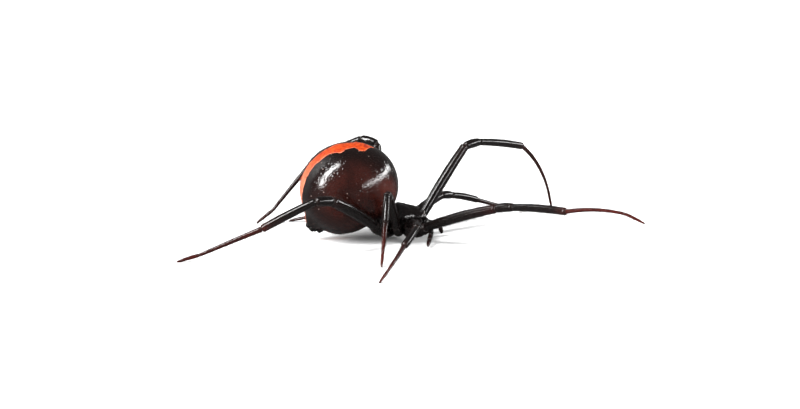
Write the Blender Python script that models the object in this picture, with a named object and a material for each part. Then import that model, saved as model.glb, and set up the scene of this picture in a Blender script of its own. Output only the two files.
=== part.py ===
"""Redback spider: a still, life-size model standing in a wide, low stance."""

import math

import bmesh
import bpy
from mathutils import Matrix, Vector
from mathutils.bvhtree import BVHTree

# Lengths are in millimetres and angles in degrees until a mesh is made.
MM = 0.001
GAP = 0.3
LEG_SIDES = 12
MERGE = 0.012
FAR_OUT = 9.0

# Abdomen: a globe hung low over the floor, its rear turned a little to the right side.
ABDOMEN_CENTRE = Vector((-4.61, -0.35, 4.80))
ABDOMEN_RADII = Vector((4.51, 4.1, 4.28))
ABDOMEN_YAW = 14.0
ABDOMEN_ROLL = 12.0
ABDOMEN_SEGMENTS = 44
ABDOMEN_RINGS = 26

# Swellings of the abdomen: heading in its own side plane, sideways turn, height, spread.
REAR_SWELLING = (-134.5, 0.0, 0.160, 12.5)
BELLY_SWELLING = (-103.0, 0.0, 0.075, 16.0)
VENT_SWELLING = (-79.0, 0.0, 0.03, 6.0)
SHOULDER_SWELLING = (44.0, 0.0, 0.038, 33.0)
WAIST_HOLLOW = (-62.0, 0.0, -0.21, 30.0)
SADDLE_HOLLOW = (-33.0, 0.0, -0.06, 17.0)
RIGHT_HIP_HOLLOW = (-50.0, 52.0, -0.085, 26.0)
LEFT_HIP_HOLLOW = (-50.0, -52.0, -0.06, 26.0)
SWELLINGS = (REAR_SWELLING, BELLY_SWELLING, VENT_SWELLING, SHOULDER_SWELLING, WAIST_HOLLOW,
             SADDLE_HOLLOW, RIGHT_HIP_HOLLOW, LEFT_HIP_HOLLOW)

# Spinnerets: three pairs of blunt cones under the tip of the rear swelling.
SPINNERET_HEADING = -129.0
SPINNERET_LENGTH = 0.24
SPINNERET_BASE = 0.34
SPINNERET_TIP = 0.22
SPINNERET_RING = 0.38
SPINNERET_COUNT = 6
SPINNERET_SIDES = 8
SPINNERET_SUNK = 0.3
SPINNERET_SPLAY = 0.25

# Carapace stations from the waist to the face: distance forward, half width, top.
CARAPACE_STATIONS = (
    (-0.72, 0.42, 2.46),
    (-0.46, 0.98, 3.06),
    (-0.15, 1.42, 3.40),
    (0.30, 1.56, 3.38),
    (0.85, 1.36, 3.27),
    (1.30, 1.12, 3.18),
    (1.72, 1.02, 3.02),
    (2.06, 0.88, 2.74),
    (2.28, 0.62, 2.46),
)
CARAPACE_RIM = 2.16
CARAPACE_BELOW = 0.10
UNDERSIDE_SHARES = (-0.6, 0.0, 0.6)
DOME_POINTS = 14
DOME_POWER = 0.9

# Sternum: the plate between the hips, under the carapace.
STERNUM_CENTRE = Vector((0.2, 0.0, 0.0))
STERNUM_LENGTH = 0.85
STERNUM_WIDTH = 0.42
STERNUM_BOTTOM = 0.82
STERNUM_BEVEL = 0.15
STERNUM_BEVEL_SHARE = 0.7
STERNUM_TOP = 2.3
STERNUM_POINTS = 20

# Eyes: two rows across the face, each eye as height, sideways place and radius.
EYES = (
    (2.24, 0.17, 0.12),
    (2.27, 0.46, 0.12),
    (2.53, 0.20, 0.12),
    (2.49, 0.57, 0.12),
)
EYE_SUNK = 0.3
EYE_SEGMENTS = 10
EYE_RINGS = 7

# Waist: the short stalk that climbs from between the hindmost hips to the abdomen.
WAIST_START = Vector((-0.74, 0.0, 1.86))
WAIST_RADIUS = 0.32
WAIST_RISE = 36.0

# Jaws hang under the face, feelers bend over beside them.
JAW_TOP = Vector((2.32, 0.43, 1.72))
JAW_FOOT = Vector((2.22, 0.42, 0.74))
JAW_RADII = (0.28, 0.31, 0.22)
FEELER_RADII = (0.22, 0.25, 0.25, 0.22, 0.10)
FEELERS = {
    "right": (Vector((2.80, -1.0, 1.12)), Vector((2.82, -1.62, 0.90)), Vector((2.5, -3.9, 0.22))),
    "left": (Vector((2.95, 0.92, 1.35)), Vector((3.5, 1.1, 1.5)), Vector((3.85, 1.65, 0.24))),
}

# Leg lengths by pair: femur, patella, tibia, metatarsus, tarsus.
LEG_LENGTHS = {
    1: (7.75, 1.83, 5.76, 6.15, 2.25),
    2: (5.2, 1.38, 3.25, 4.75, 1.74),
    3: (4.37, 1.3, 2.7, 3.26, 1.51),
    4: (6.7, 1.66, 5.3, 5.9, 2.0),
}
LEG_STOUTNESS = {1: 1.0, 2: 0.92, 3: 0.86, 4: 1.06}

# Radii at the near end, the middle and the far end of each piece of a leg.
COXA_RADII = (0.26, 0.40, 0.38)
FEMUR_RADII = (0.39, 0.46, 0.39)
PATELLA_RADII = (0.35, 0.42, 0.34)
TIBIA_RADII = (0.31, 0.35, 0.28)
METATARSUS_RADII = (0.26, 0.25, 0.25)
TARSUS_RADII = (0.25, 0.22, 0.13)
END_PINCH = 0.16
END_PINCH_POWER = 6

# Upward bow of the long pieces at their middles.
FEMUR_BOW = 0.16
TIBIA_BOW = 0.10

# Hips leave the sternum's edge at these headings.
COXA_ROOT_HEADINGS = {1: 22.0, 2: 62.0, 3: 104.0, 4: 152.0}
COXA_ROOT_HEIGHT = 0.92
COXA_SAG = 0.28
ROOT_EASE = 0.06

# Feet: height of a standing foot's axis at its tip, before the sole is cut flat.
FOOT_AXIS_HEIGHT = 0.02
SOLE_SNAP = 0.002

# Pieces of a leg: name, radii, bow, rings along it.
LEG_PARTS = (
    ("coxa", COXA_RADII, 0.0, 5),
    ("femur", FEMUR_RADII, FEMUR_BOW, 7),
    ("patella", PATELLA_RADII, 0.0, 5),
    ("tibia", TIBIA_RADII, TIBIA_BOW, 6),
    ("metatarsus", METATARSUS_RADII, 0.0, 5),
    ("tarsus", TARSUS_RADII, 0.0, 4),
)
SLENDER_PARTS = ("metatarsus", "tarsus")

# Pose of each leg: hip, heading of its plane, lean of that plane, then the rise of
# the femur, patella, tibia and the two halves of the metatarsus.
POSES = {
    (1, "right"): ((2.33, -1.76, 1.5), -42.5, -26.5, (21, 11.5, 4, 11, 1)),
    (2, "right"): ((0.9, -2.5, 1.8), -94, -41.5, (15.5, 0, -22.5, -17.5, -22)),
    (3, "right"): ((-0.37, -2.4, 1.74), -98, 3, (47.5, 17, -51.5, -42.5, -42)),
    (4, "right"): ((-2.28, -3.04, 1.86), -154, -39.5, (37.5, 7, -36.5, -28.5, -29)),
    (1, "left"): ((2.1, 1.85, 1.95), 42, 1.5, (48.5, 6, -10, -42.5, -60)),
    (2, "left"): ((0.92, 2.45, 1.5), 46, -26.5, (17, -7.5, -16.5, -20, -20)),
    (3, "left"): ((-0.29, 2.64, 1.75), 141, 50.5, (24.5, -23.5, -34.5, -35, -32.5)),
    (4, "left"): ((-1.92, 3.03, 1.62), 158, 18, (80.5, 14, -28.5, -53.5, -55)),
}
RAISED_LEG = (1, "right")
RAISED_TARSUS_RISE = -14

# Colours of the finishes, as linear red, green and blue, with their roughness.
SHELL_BLACK = ((0.012, 0.008, 0.008), 0.28)
SHELL_BROWN = ((0.06, 0.018, 0.014), 0.35)
ABDOMEN_BROWN = ((0.022, 0.006, 0.005), 0.22)
MEMBRANE = ((0.05, 0.03, 0.025), 0.5)


def clear_scene():
    """Empty the scene before anything is made."""
    for old in list(bpy.data.objects):
        bpy.data.objects.remove(old, do_unlink=True)


def finish(name, look):
    """One plain material in a piece's own name."""
    colour, roughness = look
    material = bpy.data.materials.new(name + "_finish")
    material.use_nodes = True
    shader = material.node_tree.nodes["Principled BSDF"]
    shader.inputs["Base Color"].default_value = (*colour, 1.0)
    shader.inputs["Roughness"].default_value = roughness
    shader.inputs["Metallic"].default_value = 0.0
    return material


def place(name, shape, origin, look, root):
    """Turn a shape in millimetres into a named object with its origin on its joint."""
    bmesh.ops.translate(shape, verts=shape.verts, vec=-origin)
    bmesh.ops.scale(shape, verts=shape.verts, vec=(MM, MM, MM))
    bmesh.ops.recalc_face_normals(shape, faces=shape.faces)
    mesh = bpy.data.meshes.new(name)
    shape.to_mesh(mesh)
    shape.free()
    mesh.shade_smooth()
    mesh.set_sharp_from_angle(angle=math.radians(40))
    mesh.materials.append(finish(name, look))
    piece = bpy.data.objects.new(name, mesh)
    bpy.context.collection.objects.link(piece)
    piece.parent = root
    piece.location = origin * MM
    return piece


def loft(rings):
    """Closed shape through rings of points, each ring with the same count."""
    shape = bmesh.new()
    loops = [[shape.verts.new(point) for point in ring] for ring in rings]
    count = len(loops[0])
    for near, far in zip(loops, loops[1:]):
        for k in range(count):
            following = (k + 1) % count
            shape.faces.new((near[k], near[following], far[following], far[k]))
    shape.faces.new(list(reversed(loops[0])))
    shape.faces.new(loops[-1])
    bmesh.ops.recalc_face_normals(shape, faces=shape.faces)
    return shape


def swelling_radii(sizes, count):
    """Radii along a piece, smooth through its three sizes and drawn in at its ends."""
    near, middle, far = sizes
    radii = []
    for k in range(count):
        t = k / (count - 1)
        radius = near * (1 - t) * (1 - 2 * t) + middle * 4 * t * (1 - t) + far * t * (2 * t - 1)
        radii.append(radius * (1 - END_PINCH * abs(2 * t - 1) ** END_PINCH_POWER))
    return radii


def tube(path, radii, near_normal, far_normal, up):
    """Round tube along a path, its two end faces lying in planes of their own."""
    rings = []
    last = len(path) - 1
    for k, (point, radius) in enumerate(zip(path, radii)):
        before = path[max(k - 1, 0)]
        after = path[min(k + 1, last)]
        along = (after - before).normalized()
        plane = along
        if k == 0:
            plane = near_normal
        if k == last:
            plane = far_normal
        across = along.cross(up).normalized()
        above = across.cross(along)
        ring = []
        for side in range(LEG_SIDES):
            angle = 2 * math.pi * side / LEG_SIDES
            offset = (across * math.cos(angle) + above * math.sin(angle)) * radius
            slide = -offset.dot(plane) / along.dot(plane)
            ring.append(point + offset + along * slide)
        rings.append(ring)
    return loft(rings)


def direction(heading, lean, rise):
    """Unit vector at a rise inside an upright plane that leans over sideways."""
    forward = Vector((math.cos(math.radians(heading)), math.sin(math.radians(heading)), 0))
    return forward * math.cos(math.radians(rise)) + leg_up(heading, lean) * math.sin(math.radians(rise))


def leg_up(heading, lean):
    """Upward direction inside a leg's leaning plane."""
    forward = Vector((math.cos(math.radians(heading)), math.sin(math.radians(heading)), 0))
    upright = Vector((0, 0, 1))
    sideways = forward.cross(upright)
    return upright * math.cos(math.radians(lean)) + sideways * math.sin(math.radians(lean))


def leg_joints(key):
    """Points of a leg: hip, knee, both ends of the tibia, metatarsus middle and end, tip."""
    hip, heading, lean, rises = POSES[key]
    femur, patella, tibia, metatarsus, tarsus = LEG_LENGTHS[key[0]]
    points = [Vector(hip)]
    for length, rise in zip((femur, patella, tibia, metatarsus / 2, metatarsus / 2), rises):
        points.append(points[-1] + direction(heading, lean, rise) * length)
    rise = RAISED_TARSUS_RISE
    if key != RAISED_LEG:
        drop = (points[-1].z - FOOT_AXIS_HEIGHT) / (tarsus * math.cos(math.radians(lean)))
        rise = -math.degrees(math.asin(drop))
    points.append(points[-1] + direction(heading, lean, rise) * tarsus)
    return points


def span_centre():
    """Middle of the floor area that the feet span."""
    tips = [leg_joints(key)[-1] for key in POSES]
    middle_x = (min(tip.x for tip in tips) + max(tip.x for tip in tips)) / 2
    middle_y = (min(tip.y for tip in tips) + max(tip.y for tip in tips)) / 2
    return Vector((middle_x, middle_y, 0))


def coxa_root(key):
    """Point beside the sternum where a leg starts."""
    pair, side = key
    heading = math.radians(COXA_ROOT_HEADINGS[pair])
    mirror = 1 if side == "left" else -1
    offset = Vector((STERNUM_LENGTH * math.cos(heading), mirror * STERNUM_WIDTH * math.sin(heading), 0))
    point = STERNUM_CENTRE + offset
    point.z = COXA_ROOT_HEIGHT
    return point


def bowed_path(start, end, bow, count):
    """Points from start to end, lifted most at the middle."""
    return [start.lerp(end, k / (count - 1)) + bow * (4 * k * (count - 1 - k) / (count - 1) ** 2)
            for k in range(count)]


def cut_sole(shape):
    """Cut a standing foot flat at the floor."""
    parts = shape.verts[:] + shape.edges[:] + shape.faces[:]
    bmesh.ops.bisect_plane(shape, geom=parts, plane_co=(0, 0, 0), plane_no=(0, 0, 1),
                           clear_inner=True, dist=SOLE_SNAP)
    rim = [edge for edge in shape.edges if edge.is_boundary]
    bmesh.ops.holes_fill(shape, edges=rim, sides=0)
    for vert in shape.verts:
        if abs(vert.co.z) < SOLE_SNAP:
            vert.co.z = 0.0
    bmesh.ops.remove_doubles(shape, verts=shape.verts, dist=MERGE)


def make_leg(key, centre, root):
    """Six pieces of one leg, meeting face to face across small gaps."""
    pair, side = key
    name = "leg{}_{}_".format(pair, side)
    stout = LEG_STOUTNESS[pair]
    joints = leg_joints(key)
    up = leg_up(POSES[key][1], POSES[key][2])
    start = coxa_root(key)
    first = (joints[0] - start).normalized()
    start = start + first * (GAP + ROOT_EASE)
    corners = [start, joints[0], joints[1], joints[2], joints[3], joints[5], joints[6]]
    setting_out = [(b - a).normalized() for a, b in zip(corners, corners[1:])]
    arriving = list(setting_out)
    setting_out[4] = (joints[4] - joints[3]).normalized()
    arriving[4] = (joints[5] - joints[4]).normalized()
    planes = [setting_out[0]]
    planes += [(a + b).normalized() for a, b in zip(arriving, setting_out[1:])]
    planes.append(arriving[-1])
    for k, (part, sizes, bow, count) in enumerate(LEG_PARTS):
        near = corners[k]
        far = corners[k + 1]
        if k > 0:
            near = near + setting_out[k] * (GAP / 2 / planes[k].dot(setting_out[k]))
        if k < len(LEG_PARTS) - 1:
            far = far - arriving[k] * (GAP / 2 / planes[k + 1].dot(arriving[k]))
        path = bowed_path(near, far, up * bow, count)
        if part == "coxa":
            path = bowed_path(near, far, Vector((0, 0, -COXA_SAG)), count)
        if part == "metatarsus":
            middle = joints[4] - corners[k].lerp(corners[k + 1], 0.5)
            path = bowed_path(near, far, middle, count)
        slender = part in SLENDER_PARTS
        scale = 1.0 if slender else stout
        radii = [radius * scale for radius in swelling_radii(sizes, count)]
        if part == "tarsus":
            radii[-1] = TARSUS_RADII[2]
        shape = tube(path, radii, planes[k], planes[k + 1], up)
        if part == "tarsus" and key != RAISED_LEG:
            cut_sole(shape)
        bmesh.ops.translate(shape, verts=shape.verts, vec=-centre)
        place(name + part, shape, near - centre, SHELL_BROWN if slender else SHELL_BLACK, root)


def swelling_axis(heading, turn):
    """Unit vector of a swelling, in the abdomen's own frame with its front along +X."""
    heading = math.radians(heading)
    turn = math.radians(turn)
    side_plane = Vector((math.cos(heading), 0, math.sin(heading)))
    return side_plane * math.cos(turn) + Vector((0, -1, 0)) * math.sin(turn)


def abdomen_shape():
    """Globe with its rear swelling, full belly and the hollows over waist and hips."""
    shape = bmesh.new()
    bmesh.ops.create_uvsphere(shape, u_segments=ABDOMEN_SEGMENTS, v_segments=ABDOMEN_RINGS, radius=1.0)
    bmesh.ops.rotate(shape, verts=shape.verts, matrix=Matrix.Rotation(math.pi / 2, 3, "Y"))
    for vert in shape.verts:
        outward = vert.co.normalized()
        growth = 1.0
        for heading, turn, height, spread in SWELLINGS:
            angle = math.degrees(outward.angle(swelling_axis(heading, turn)))
            growth += height * math.exp(-(angle / spread) ** 2)
        vert.co = Vector((outward.x * ABDOMEN_RADII.x, outward.y * ABDOMEN_RADII.y,
                          outward.z * ABDOMEN_RADII.z)) * growth
    return shape


def abdomen_turn():
    """Rotation of the abdomen against the front half of the body."""
    return Matrix.Rotation(math.radians(ABDOMEN_YAW), 4, "Z") @ Matrix.Rotation(math.radians(ABDOMEN_ROLL), 4, "X")


def cone(base, top, base_radius, top_radius, sides):
    """Blunt cone between two points."""
    along = (top - base).normalized()
    shape = bmesh.new()
    turn = along.to_track_quat("Z", "Y").to_matrix().to_4x4()
    place_at = Matrix.Translation((base + top) / 2) @ turn
    bmesh.ops.create_cone(shape, cap_ends=True, cap_tris=False, segments=sides, radius1=base_radius,
                          radius2=top_radius, depth=(top - base).length, matrix=place_at)
    return shape


def ball(centre, radius):
    """Small round ball."""
    shape = bmesh.new()
    bmesh.ops.create_uvsphere(shape, u_segments=EYE_SEGMENTS, v_segments=EYE_RINGS, radius=radius,
                              matrix=Matrix.Translation(centre))
    return shape


def as_object(shape):
    """Scratch object that a union is made from."""
    mesh = bpy.data.meshes.new("union_part")
    shape.to_mesh(mesh)
    shape.free()
    return bpy.data.objects.new("union_part", mesh)


def fuse(main, others):
    """Union of closed shapes, of which the largest closed surface is kept."""
    body = as_object(main)
    bpy.context.scene.collection.objects.link(body)
    extras = bpy.data.collections.new("union_extras")
    bpy.context.scene.collection.children.link(extras)
    for other in others:
        extras.objects.link(as_object(other))
    union = body.modifiers.new("union", "BOOLEAN")
    union.operation = "UNION"
    union.operand_type = "COLLECTION"
    union.collection = extras
    union.solver = "EXACT"
    evaluated = body.evaluated_get(bpy.context.evaluated_depsgraph_get())
    result = bmesh.new()
    result.from_mesh(evaluated.to_mesh())
    evaluated.to_mesh_clear()
    for extra in list(extras.objects):
        bpy.data.objects.remove(extra, do_unlink=True)
    bpy.data.collections.remove(extras)
    bpy.data.objects.remove(body, do_unlink=True)
    keep_largest(result)
    bmesh.ops.remove_doubles(result, verts=result.verts, dist=MERGE)
    return result


def keep_largest(shape):
    """Delete every surface but the one with the most faces."""
    waiting = set(shape.faces)
    groups = []
    while waiting:
        group = {waiting.pop()}
        front = list(group)
        while front:
            face = front.pop()
            for edge in face.edges:
                for neighbour in edge.link_faces:
                    if neighbour in waiting:
                        waiting.discard(neighbour)
                        group.add(neighbour)
                        front.append(neighbour)
        groups.append(group)
    groups.sort(key=len)
    scraps = [face for group in groups[:-1] for face in group]
    bmesh.ops.delete(shape, geom=scraps, context="FACES")
    loose = [vert for vert in shape.verts if not vert.link_faces]
    bmesh.ops.delete(shape, geom=loose, context="VERTS")


def make_abdomen(centre, root):
    """Abdomen with its spinnerets set round the tip of the rear swelling."""
    shape = abdomen_shape()
    surface = BVHTree.FromBMesh(shape)
    axis = swelling_axis(SPINNERET_HEADING, 0.0)
    across = Vector((0, 1, 0))
    along = axis.cross(across)
    cones = []
    for k in range(SPINNERET_COUNT):
        angle = 2 * math.pi * (k + 0.5) / SPINNERET_COUNT
        offset = (across * math.cos(angle) + along * math.sin(angle)) * SPINNERET_RING
        hit = surface.ray_cast(axis * FAR_OUT + offset, -axis)[0]
        outward = (axis - offset * SPINNERET_SPLAY).normalized()
        cones.append(cone(hit - outward * SPINNERET_SUNK, hit + outward * SPINNERET_LENGTH,
                          SPINNERET_BASE, SPINNERET_TIP, SPINNERET_SIDES))
    shape = fuse(shape, cones)
    bmesh.ops.transform(shape, matrix=Matrix.Translation(ABDOMEN_CENTRE) @ abdomen_turn(),
                        verts=shape.verts)
    surface = BVHTree.FromBMesh(shape)
    bmesh.ops.translate(shape, verts=shape.verts, vec=-centre)
    place("abdomen", shape, ABDOMEN_CENTRE - centre, ABDOMEN_BROWN, root)
    return surface


def carapace_section(x, half_width, top):
    """Outline of the carapace at one station: a dome over a nearly flat underside."""
    ring = []
    for k in range(DOME_POINTS + 1):
        angle = math.pi * k / DOME_POINTS
        height = (top - CARAPACE_RIM) * math.sin(angle) ** DOME_POWER
        ring.append(Vector((x, half_width * math.cos(angle), CARAPACE_RIM + height)))
    for share in UNDERSIDE_SHARES:
        ring.append(Vector((x, half_width * share, CARAPACE_RIM - CARAPACE_BELOW)))
    return ring


def sternum_shape():
    """Oval block between the hips, reaching up into the carapace."""
    rings = []
    for height, share in ((STERNUM_BOTTOM, STERNUM_BEVEL_SHARE), (STERNUM_BOTTOM + STERNUM_BEVEL, 1.0),
                          (STERNUM_TOP, 1.0)):
        ring = []
        for k in range(STERNUM_POINTS):
            angle = 2 * math.pi * k / STERNUM_POINTS
            ring.append(Vector((STERNUM_CENTRE.x + STERNUM_LENGTH * share * math.cos(angle),
                                STERNUM_WIDTH * share * math.sin(angle), height)))
        rings.append(ring)
    return loft(rings)


def make_cephalothorax(centre, root):
    """Carapace, sternum and the eight eyes as one piece."""
    shell = loft([carapace_section(*station) for station in CARAPACE_STATIONS])
    surface = BVHTree.FromBMesh(shell)
    extras = [sternum_shape()]
    for height, sideways, radius in EYES:
        for mirror in (-1, 1):
            hit = surface.ray_cast(Vector((FAR_OUT, mirror * sideways, height)), Vector((-1, 0, 0)))[0]
            extras.append(ball(hit - Vector((radius * EYE_SUNK, 0, 0)), radius))
    shape = fuse(shell, extras)
    bmesh.ops.translate(shape, verts=shape.verts, vec=-centre)
    place("cephalothorax", shape, STERNUM_CENTRE - centre, SHELL_BLACK, root)


def make_straight(name, start, end, radii, look, centre, root):
    """One straight round piece between two points."""
    along = (end - start).normalized()
    path = [start.lerp(end, k / (len(radii) - 1)) for k in range(len(radii))]
    up = Vector((0, 0, 1)) if abs(along.z) < 0.8 else Vector((1, 0, 0))
    shape = tube(path, radii, along, along, up)
    bmesh.ops.translate(shape, verts=shape.verts, vec=-centre)
    place(name, shape, start - centre, look, root)


def make_waist(abdomen_surface, centre, root):
    """Stalk between the carapace and the abdomen, its rear face following the abdomen."""
    backward = Vector((-1, 0, 0))
    start = WAIST_START + backward * GAP
    along = direction(180, 0, WAIST_RISE)
    hit, outward = abdomen_surface.ray_cast(start, along)[:2]
    end = hit + along * (GAP / outward.dot(along))
    shape = tube([start, end], [WAIST_RADIUS] * 2, backward, -outward, leg_up(180, 0))
    bmesh.ops.translate(shape, verts=shape.verts, vec=-centre)
    place("pedicel", shape, start - centre, MEMBRANE, root)


def make_jaws_and_feelers(centre, root):
    """Both jaws and the two pieces of each feeler."""
    for side, mirror in (("right", -1), ("left", 1)):
        flip = Vector((1, mirror, 1))
        make_straight("chelicera_" + side, JAW_TOP * flip, JAW_FOOT * flip,
                      swelling_radii(JAW_RADII, 5), SHELL_BLACK, centre, root)
        base, knee, tip = FEELERS[side]
        near = (knee - base).normalized()
        far = (tip - knee).normalized()
        plane = (near + far).normalized()
        up = Vector((1, 0, 0))
        upper = bowed_path(base, knee - near * (GAP / 2 / plane.dot(near)), Vector(), 2)
        shape = tube(upper, FEELER_RADII[:2], near, plane, up)
        bmesh.ops.translate(shape, verts=shape.verts, vec=-centre)
        place("palp_{}_base".format(side), shape, base - centre, SHELL_BLACK, root)
        lower = bowed_path(knee + far * (GAP / 2 / plane.dot(far)), tip, Vector(), 4)
        shape = tube(lower, FEELER_RADII[1:], plane, far, up)
        bmesh.ops.translate(shape, verts=shape.verts, vec=-centre)
        place("palp_{}_end".format(side), shape, lower[0] - centre, SHELL_BROWN, root)


def main():
    """Build the whole spider with its stance centred on the origin."""
    clear_scene()
    root = bpy.data.objects.new("spider", None)
    bpy.context.collection.objects.link(root)
    centre = span_centre()
    abdomen_surface = make_abdomen(centre, root)
    make_cephalothorax(centre, root)
    make_waist(abdomen_surface, centre, root)
    make_jaws_and_feelers(centre, root)
    for key in POSES:
        make_leg(key, centre, root)


main()
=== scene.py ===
"""Looks of the redback spider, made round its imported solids."""

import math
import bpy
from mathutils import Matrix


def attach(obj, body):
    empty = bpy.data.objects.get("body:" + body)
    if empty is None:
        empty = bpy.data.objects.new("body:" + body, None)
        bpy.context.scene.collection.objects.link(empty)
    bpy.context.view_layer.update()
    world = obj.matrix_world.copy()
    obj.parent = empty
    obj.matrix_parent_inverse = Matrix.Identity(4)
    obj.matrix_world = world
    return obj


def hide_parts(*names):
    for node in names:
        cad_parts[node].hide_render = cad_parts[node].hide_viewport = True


bl_info = {
    "name": "Redback spider looks",
    "version": (1, 0, 0),
    "blender": (4, 5, 0),
    "location": "3D View > Sidebar > Spider",
    "description": "Skins, eyes, jaws, claws, bristles and finishes of a life-size redback spider",
    "category": "Object",
}

import bmesh
import bpy
import numpy as np
from bpy.props import FloatProperty, FloatVectorProperty, IntProperty, PointerProperty
from mathutils import Matrix, Vector
from mathutils.bvhtree import BVHTree

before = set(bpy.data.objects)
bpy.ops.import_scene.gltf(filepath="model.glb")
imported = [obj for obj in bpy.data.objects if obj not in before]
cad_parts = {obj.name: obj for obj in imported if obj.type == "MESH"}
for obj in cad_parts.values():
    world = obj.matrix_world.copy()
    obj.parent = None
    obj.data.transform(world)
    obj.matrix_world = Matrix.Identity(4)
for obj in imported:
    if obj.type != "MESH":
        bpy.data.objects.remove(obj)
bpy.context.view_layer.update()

# Lengths in the tables are in millimetres and angles in degrees.
MM = 0.001
SIDES = ("right", "left")

# Abdomen: the same globe as the solid, drawn in by the depth of its bristles.
ABDOMEN_CENTRE = Vector((-4.61, -0.35, 4.80))
ABDOMEN_RADII = (4.51, 4.1, 4.28)
ABDOMEN_YAW = 14.0
ABDOMEN_ROLL = 12.0
ABDOMEN_INSET = 0.03
ABDOMEN_AROUND = 168
ABDOMEN_ALONG = 128

# Swellings and hollows: heading in the side plane, sideways turn, height, spread.
SWELLINGS = (
    (-134.5, 0.0, 0.160, 12.5),
    (-103.0, 0.0, 0.075, 16.0),
    (-79.0, 0.0, 0.03, 6.0),
    (44.0, 0.0, 0.038, 33.0),
    (-62.0, 0.0, -0.21, 30.0),
    (-33.0, 0.0, -0.06, 17.0),
    (-50.0, 52.0, -0.085, 26.0),
    (-50.0, -52.0, -0.06, 26.0),
)
# Small relief of the real skin: plates over the lungs, the furrow behind them, muscle dimples.
SMALL_RELIEF = (
    (-76.0, 16.0, 0.014, 7.0),
    (-76.0, -16.0, 0.014, 7.0),
    (104.0, 9.0, -0.006, 2.2),
    (104.0, -9.0, -0.006, 2.2),
    (132.0, 10.0, -0.007, 2.4),
    (132.0, -10.0, -0.007, 2.4),
    (155.0, 8.0, -0.005, 2.0),
    (155.0, -8.0, -0.005, 2.0),
)
FURROW_HEADING = -87.0
FURROW_DEPTH = 0.008
FURROW_WIDTH = 2.2
FURROW_REACH = 30.0

# Spinnerets: forward and sideways place of each cone, its length, base and tip radius.
SPINNERET_HEADING = -129.0
SPINNERET_SUNK = 0.4
SPINNERET_SPLAY = 0.2
SPINNERET_VOXEL = 0.036
SPINNERET_EASING = 9
# Each is two cones: where they meet, how far they overlap, and both steps in radius.
SPINNERET_MEETING = 0.45
SPINNERET_OVERLAP = 0.08
SPINNERET_STEPS = (0.86, 0.72)
SPINNERETS = (
    (0.34, 0.26, 0.27, 0.34, 0.26),
    (0.34, -0.26, 0.27, 0.34, 0.26),
    (0.03, 0.14, 0.26, 0.26, 0.17),
    (0.03, -0.14, 0.26, 0.26, 0.17),
    (-0.28, 0.24, 0.27, 0.32, 0.24),
    (-0.28, -0.24, 0.27, 0.32, 0.24),
    (-0.60, 0.0, 0.16, 0.34, 0.26),
)

# Stripe down the back: place along it from its front point to its end, and its half width.
STRIPE_HEADING = 120.0
STRIPE_WIDTHS = (
    (-60.0, 0.0), (-50.5, 5.6), (-44.6, 14.0), (-39.5, 16.6), (-36.3, 15.1), (-33.7, 10.8), (-29.4, 10.0),
    (-25.8, 10.8), (-22.2, 11.1), (-18.3, 13.7), (-14.0, 15.4), (-10.0, 12.8), (-4.6, 10.5), (1.8, 9.9),
    (8.4, 9.3), (14.0, 9.2), (25.5, 9.2), (31.7, 9.3), (39.4, 9.5), (46.3, 9.9), (54.3, 9.2),
    (63.1, 6.8), (71.9, 4.6), (94.0, 1.5), (118.0, 1.0), (122.0, 0.0),
)
WIDEST = 30.0
STRIPE_LEFT_SHORT = 7.5
STRIPE_LEAST = 0.6
STRIPE_LAPSE = 9.0

# Edge of the stripe, in degrees: scale, detail and reach of its wander, and how softly it ends.
EDGE_WANDERS = ((1500.0, 1.5, 2.2), (7000.0, 2.0, 4.5))
EDGE_SOFTNESS = (-0.3, 0.6)
RIM_BAND = (0.5, 1.8)
# Paler salmon rear of the stripe, along it in degrees: partly its own tone, partly a painted sheen of the
# light on the rear.
REAR_TONE_AND_SHEEN_BAND = (8.0, 55.0)
# Grey sheen beside the stripe: nearness to its edge, and where it starts and ends along it.
SHEEN_NEARNESS = (-20.0, -6.0)
SHEEN_START = (-25.0, 25.0)
SHEEN_END = (100.0, 65.0)
# Hourglass under the belly, in degrees: its middle, waist, flare and ends.
HOURGLASS_HEADING = -106.0
HOURGLASS_WAIST = 2.0
HOURGLASS_FLARE = 0.55
HOURGLASS_WANDER = 0.3
HOURGLASS_SOFTNESS = (-0.3, 0.8)
HOURGLASS_ENDS = (14.0, 12.0)
# Pale specks: how many to a metre, their edge, and the draw that a cell needs for one.
SPECK_SCALE = 2100.0
SPECK_EDGE = (0.13, 0.06)
SPECK_DRAW = 0.66
# Brown flanks: direction and edge of the patch, then reach of the broad tone and both shares.
FLANK_PATCH = (0.66, 0.75, 0.06)
FLANK_EDGE = (0.86, 0.99)
FLANK_ASIDE = (18.0, 60.0)
FLANK_HEIGHT = (-1.15, -0.1)
FLANK_SHARES = (0.62, 0.38)

# Carapace stations from the waist to the face: distance forward, half width, top.
CARAPACE_STATIONS = (
    (-0.72, 0.42, 2.60),
    (-0.50, 0.98, 3.25),
    (-0.28, 1.40, 3.50),
    (0.30, 1.56, 3.41),
    (0.85, 1.36, 3.27),
    (1.30, 1.12, 3.18),
    (1.72, 1.02, 3.02),
    (2.06, 0.88, 2.74),
    (2.28, 0.62, 2.46),
)
CARAPACE_RIM = 2.16
CARAPACE_UNDER = 0.10
CARAPACE_INSET = 0.03
CARAPACE_ALONG = 60
CARAPACE_AROUND = 48
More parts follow.
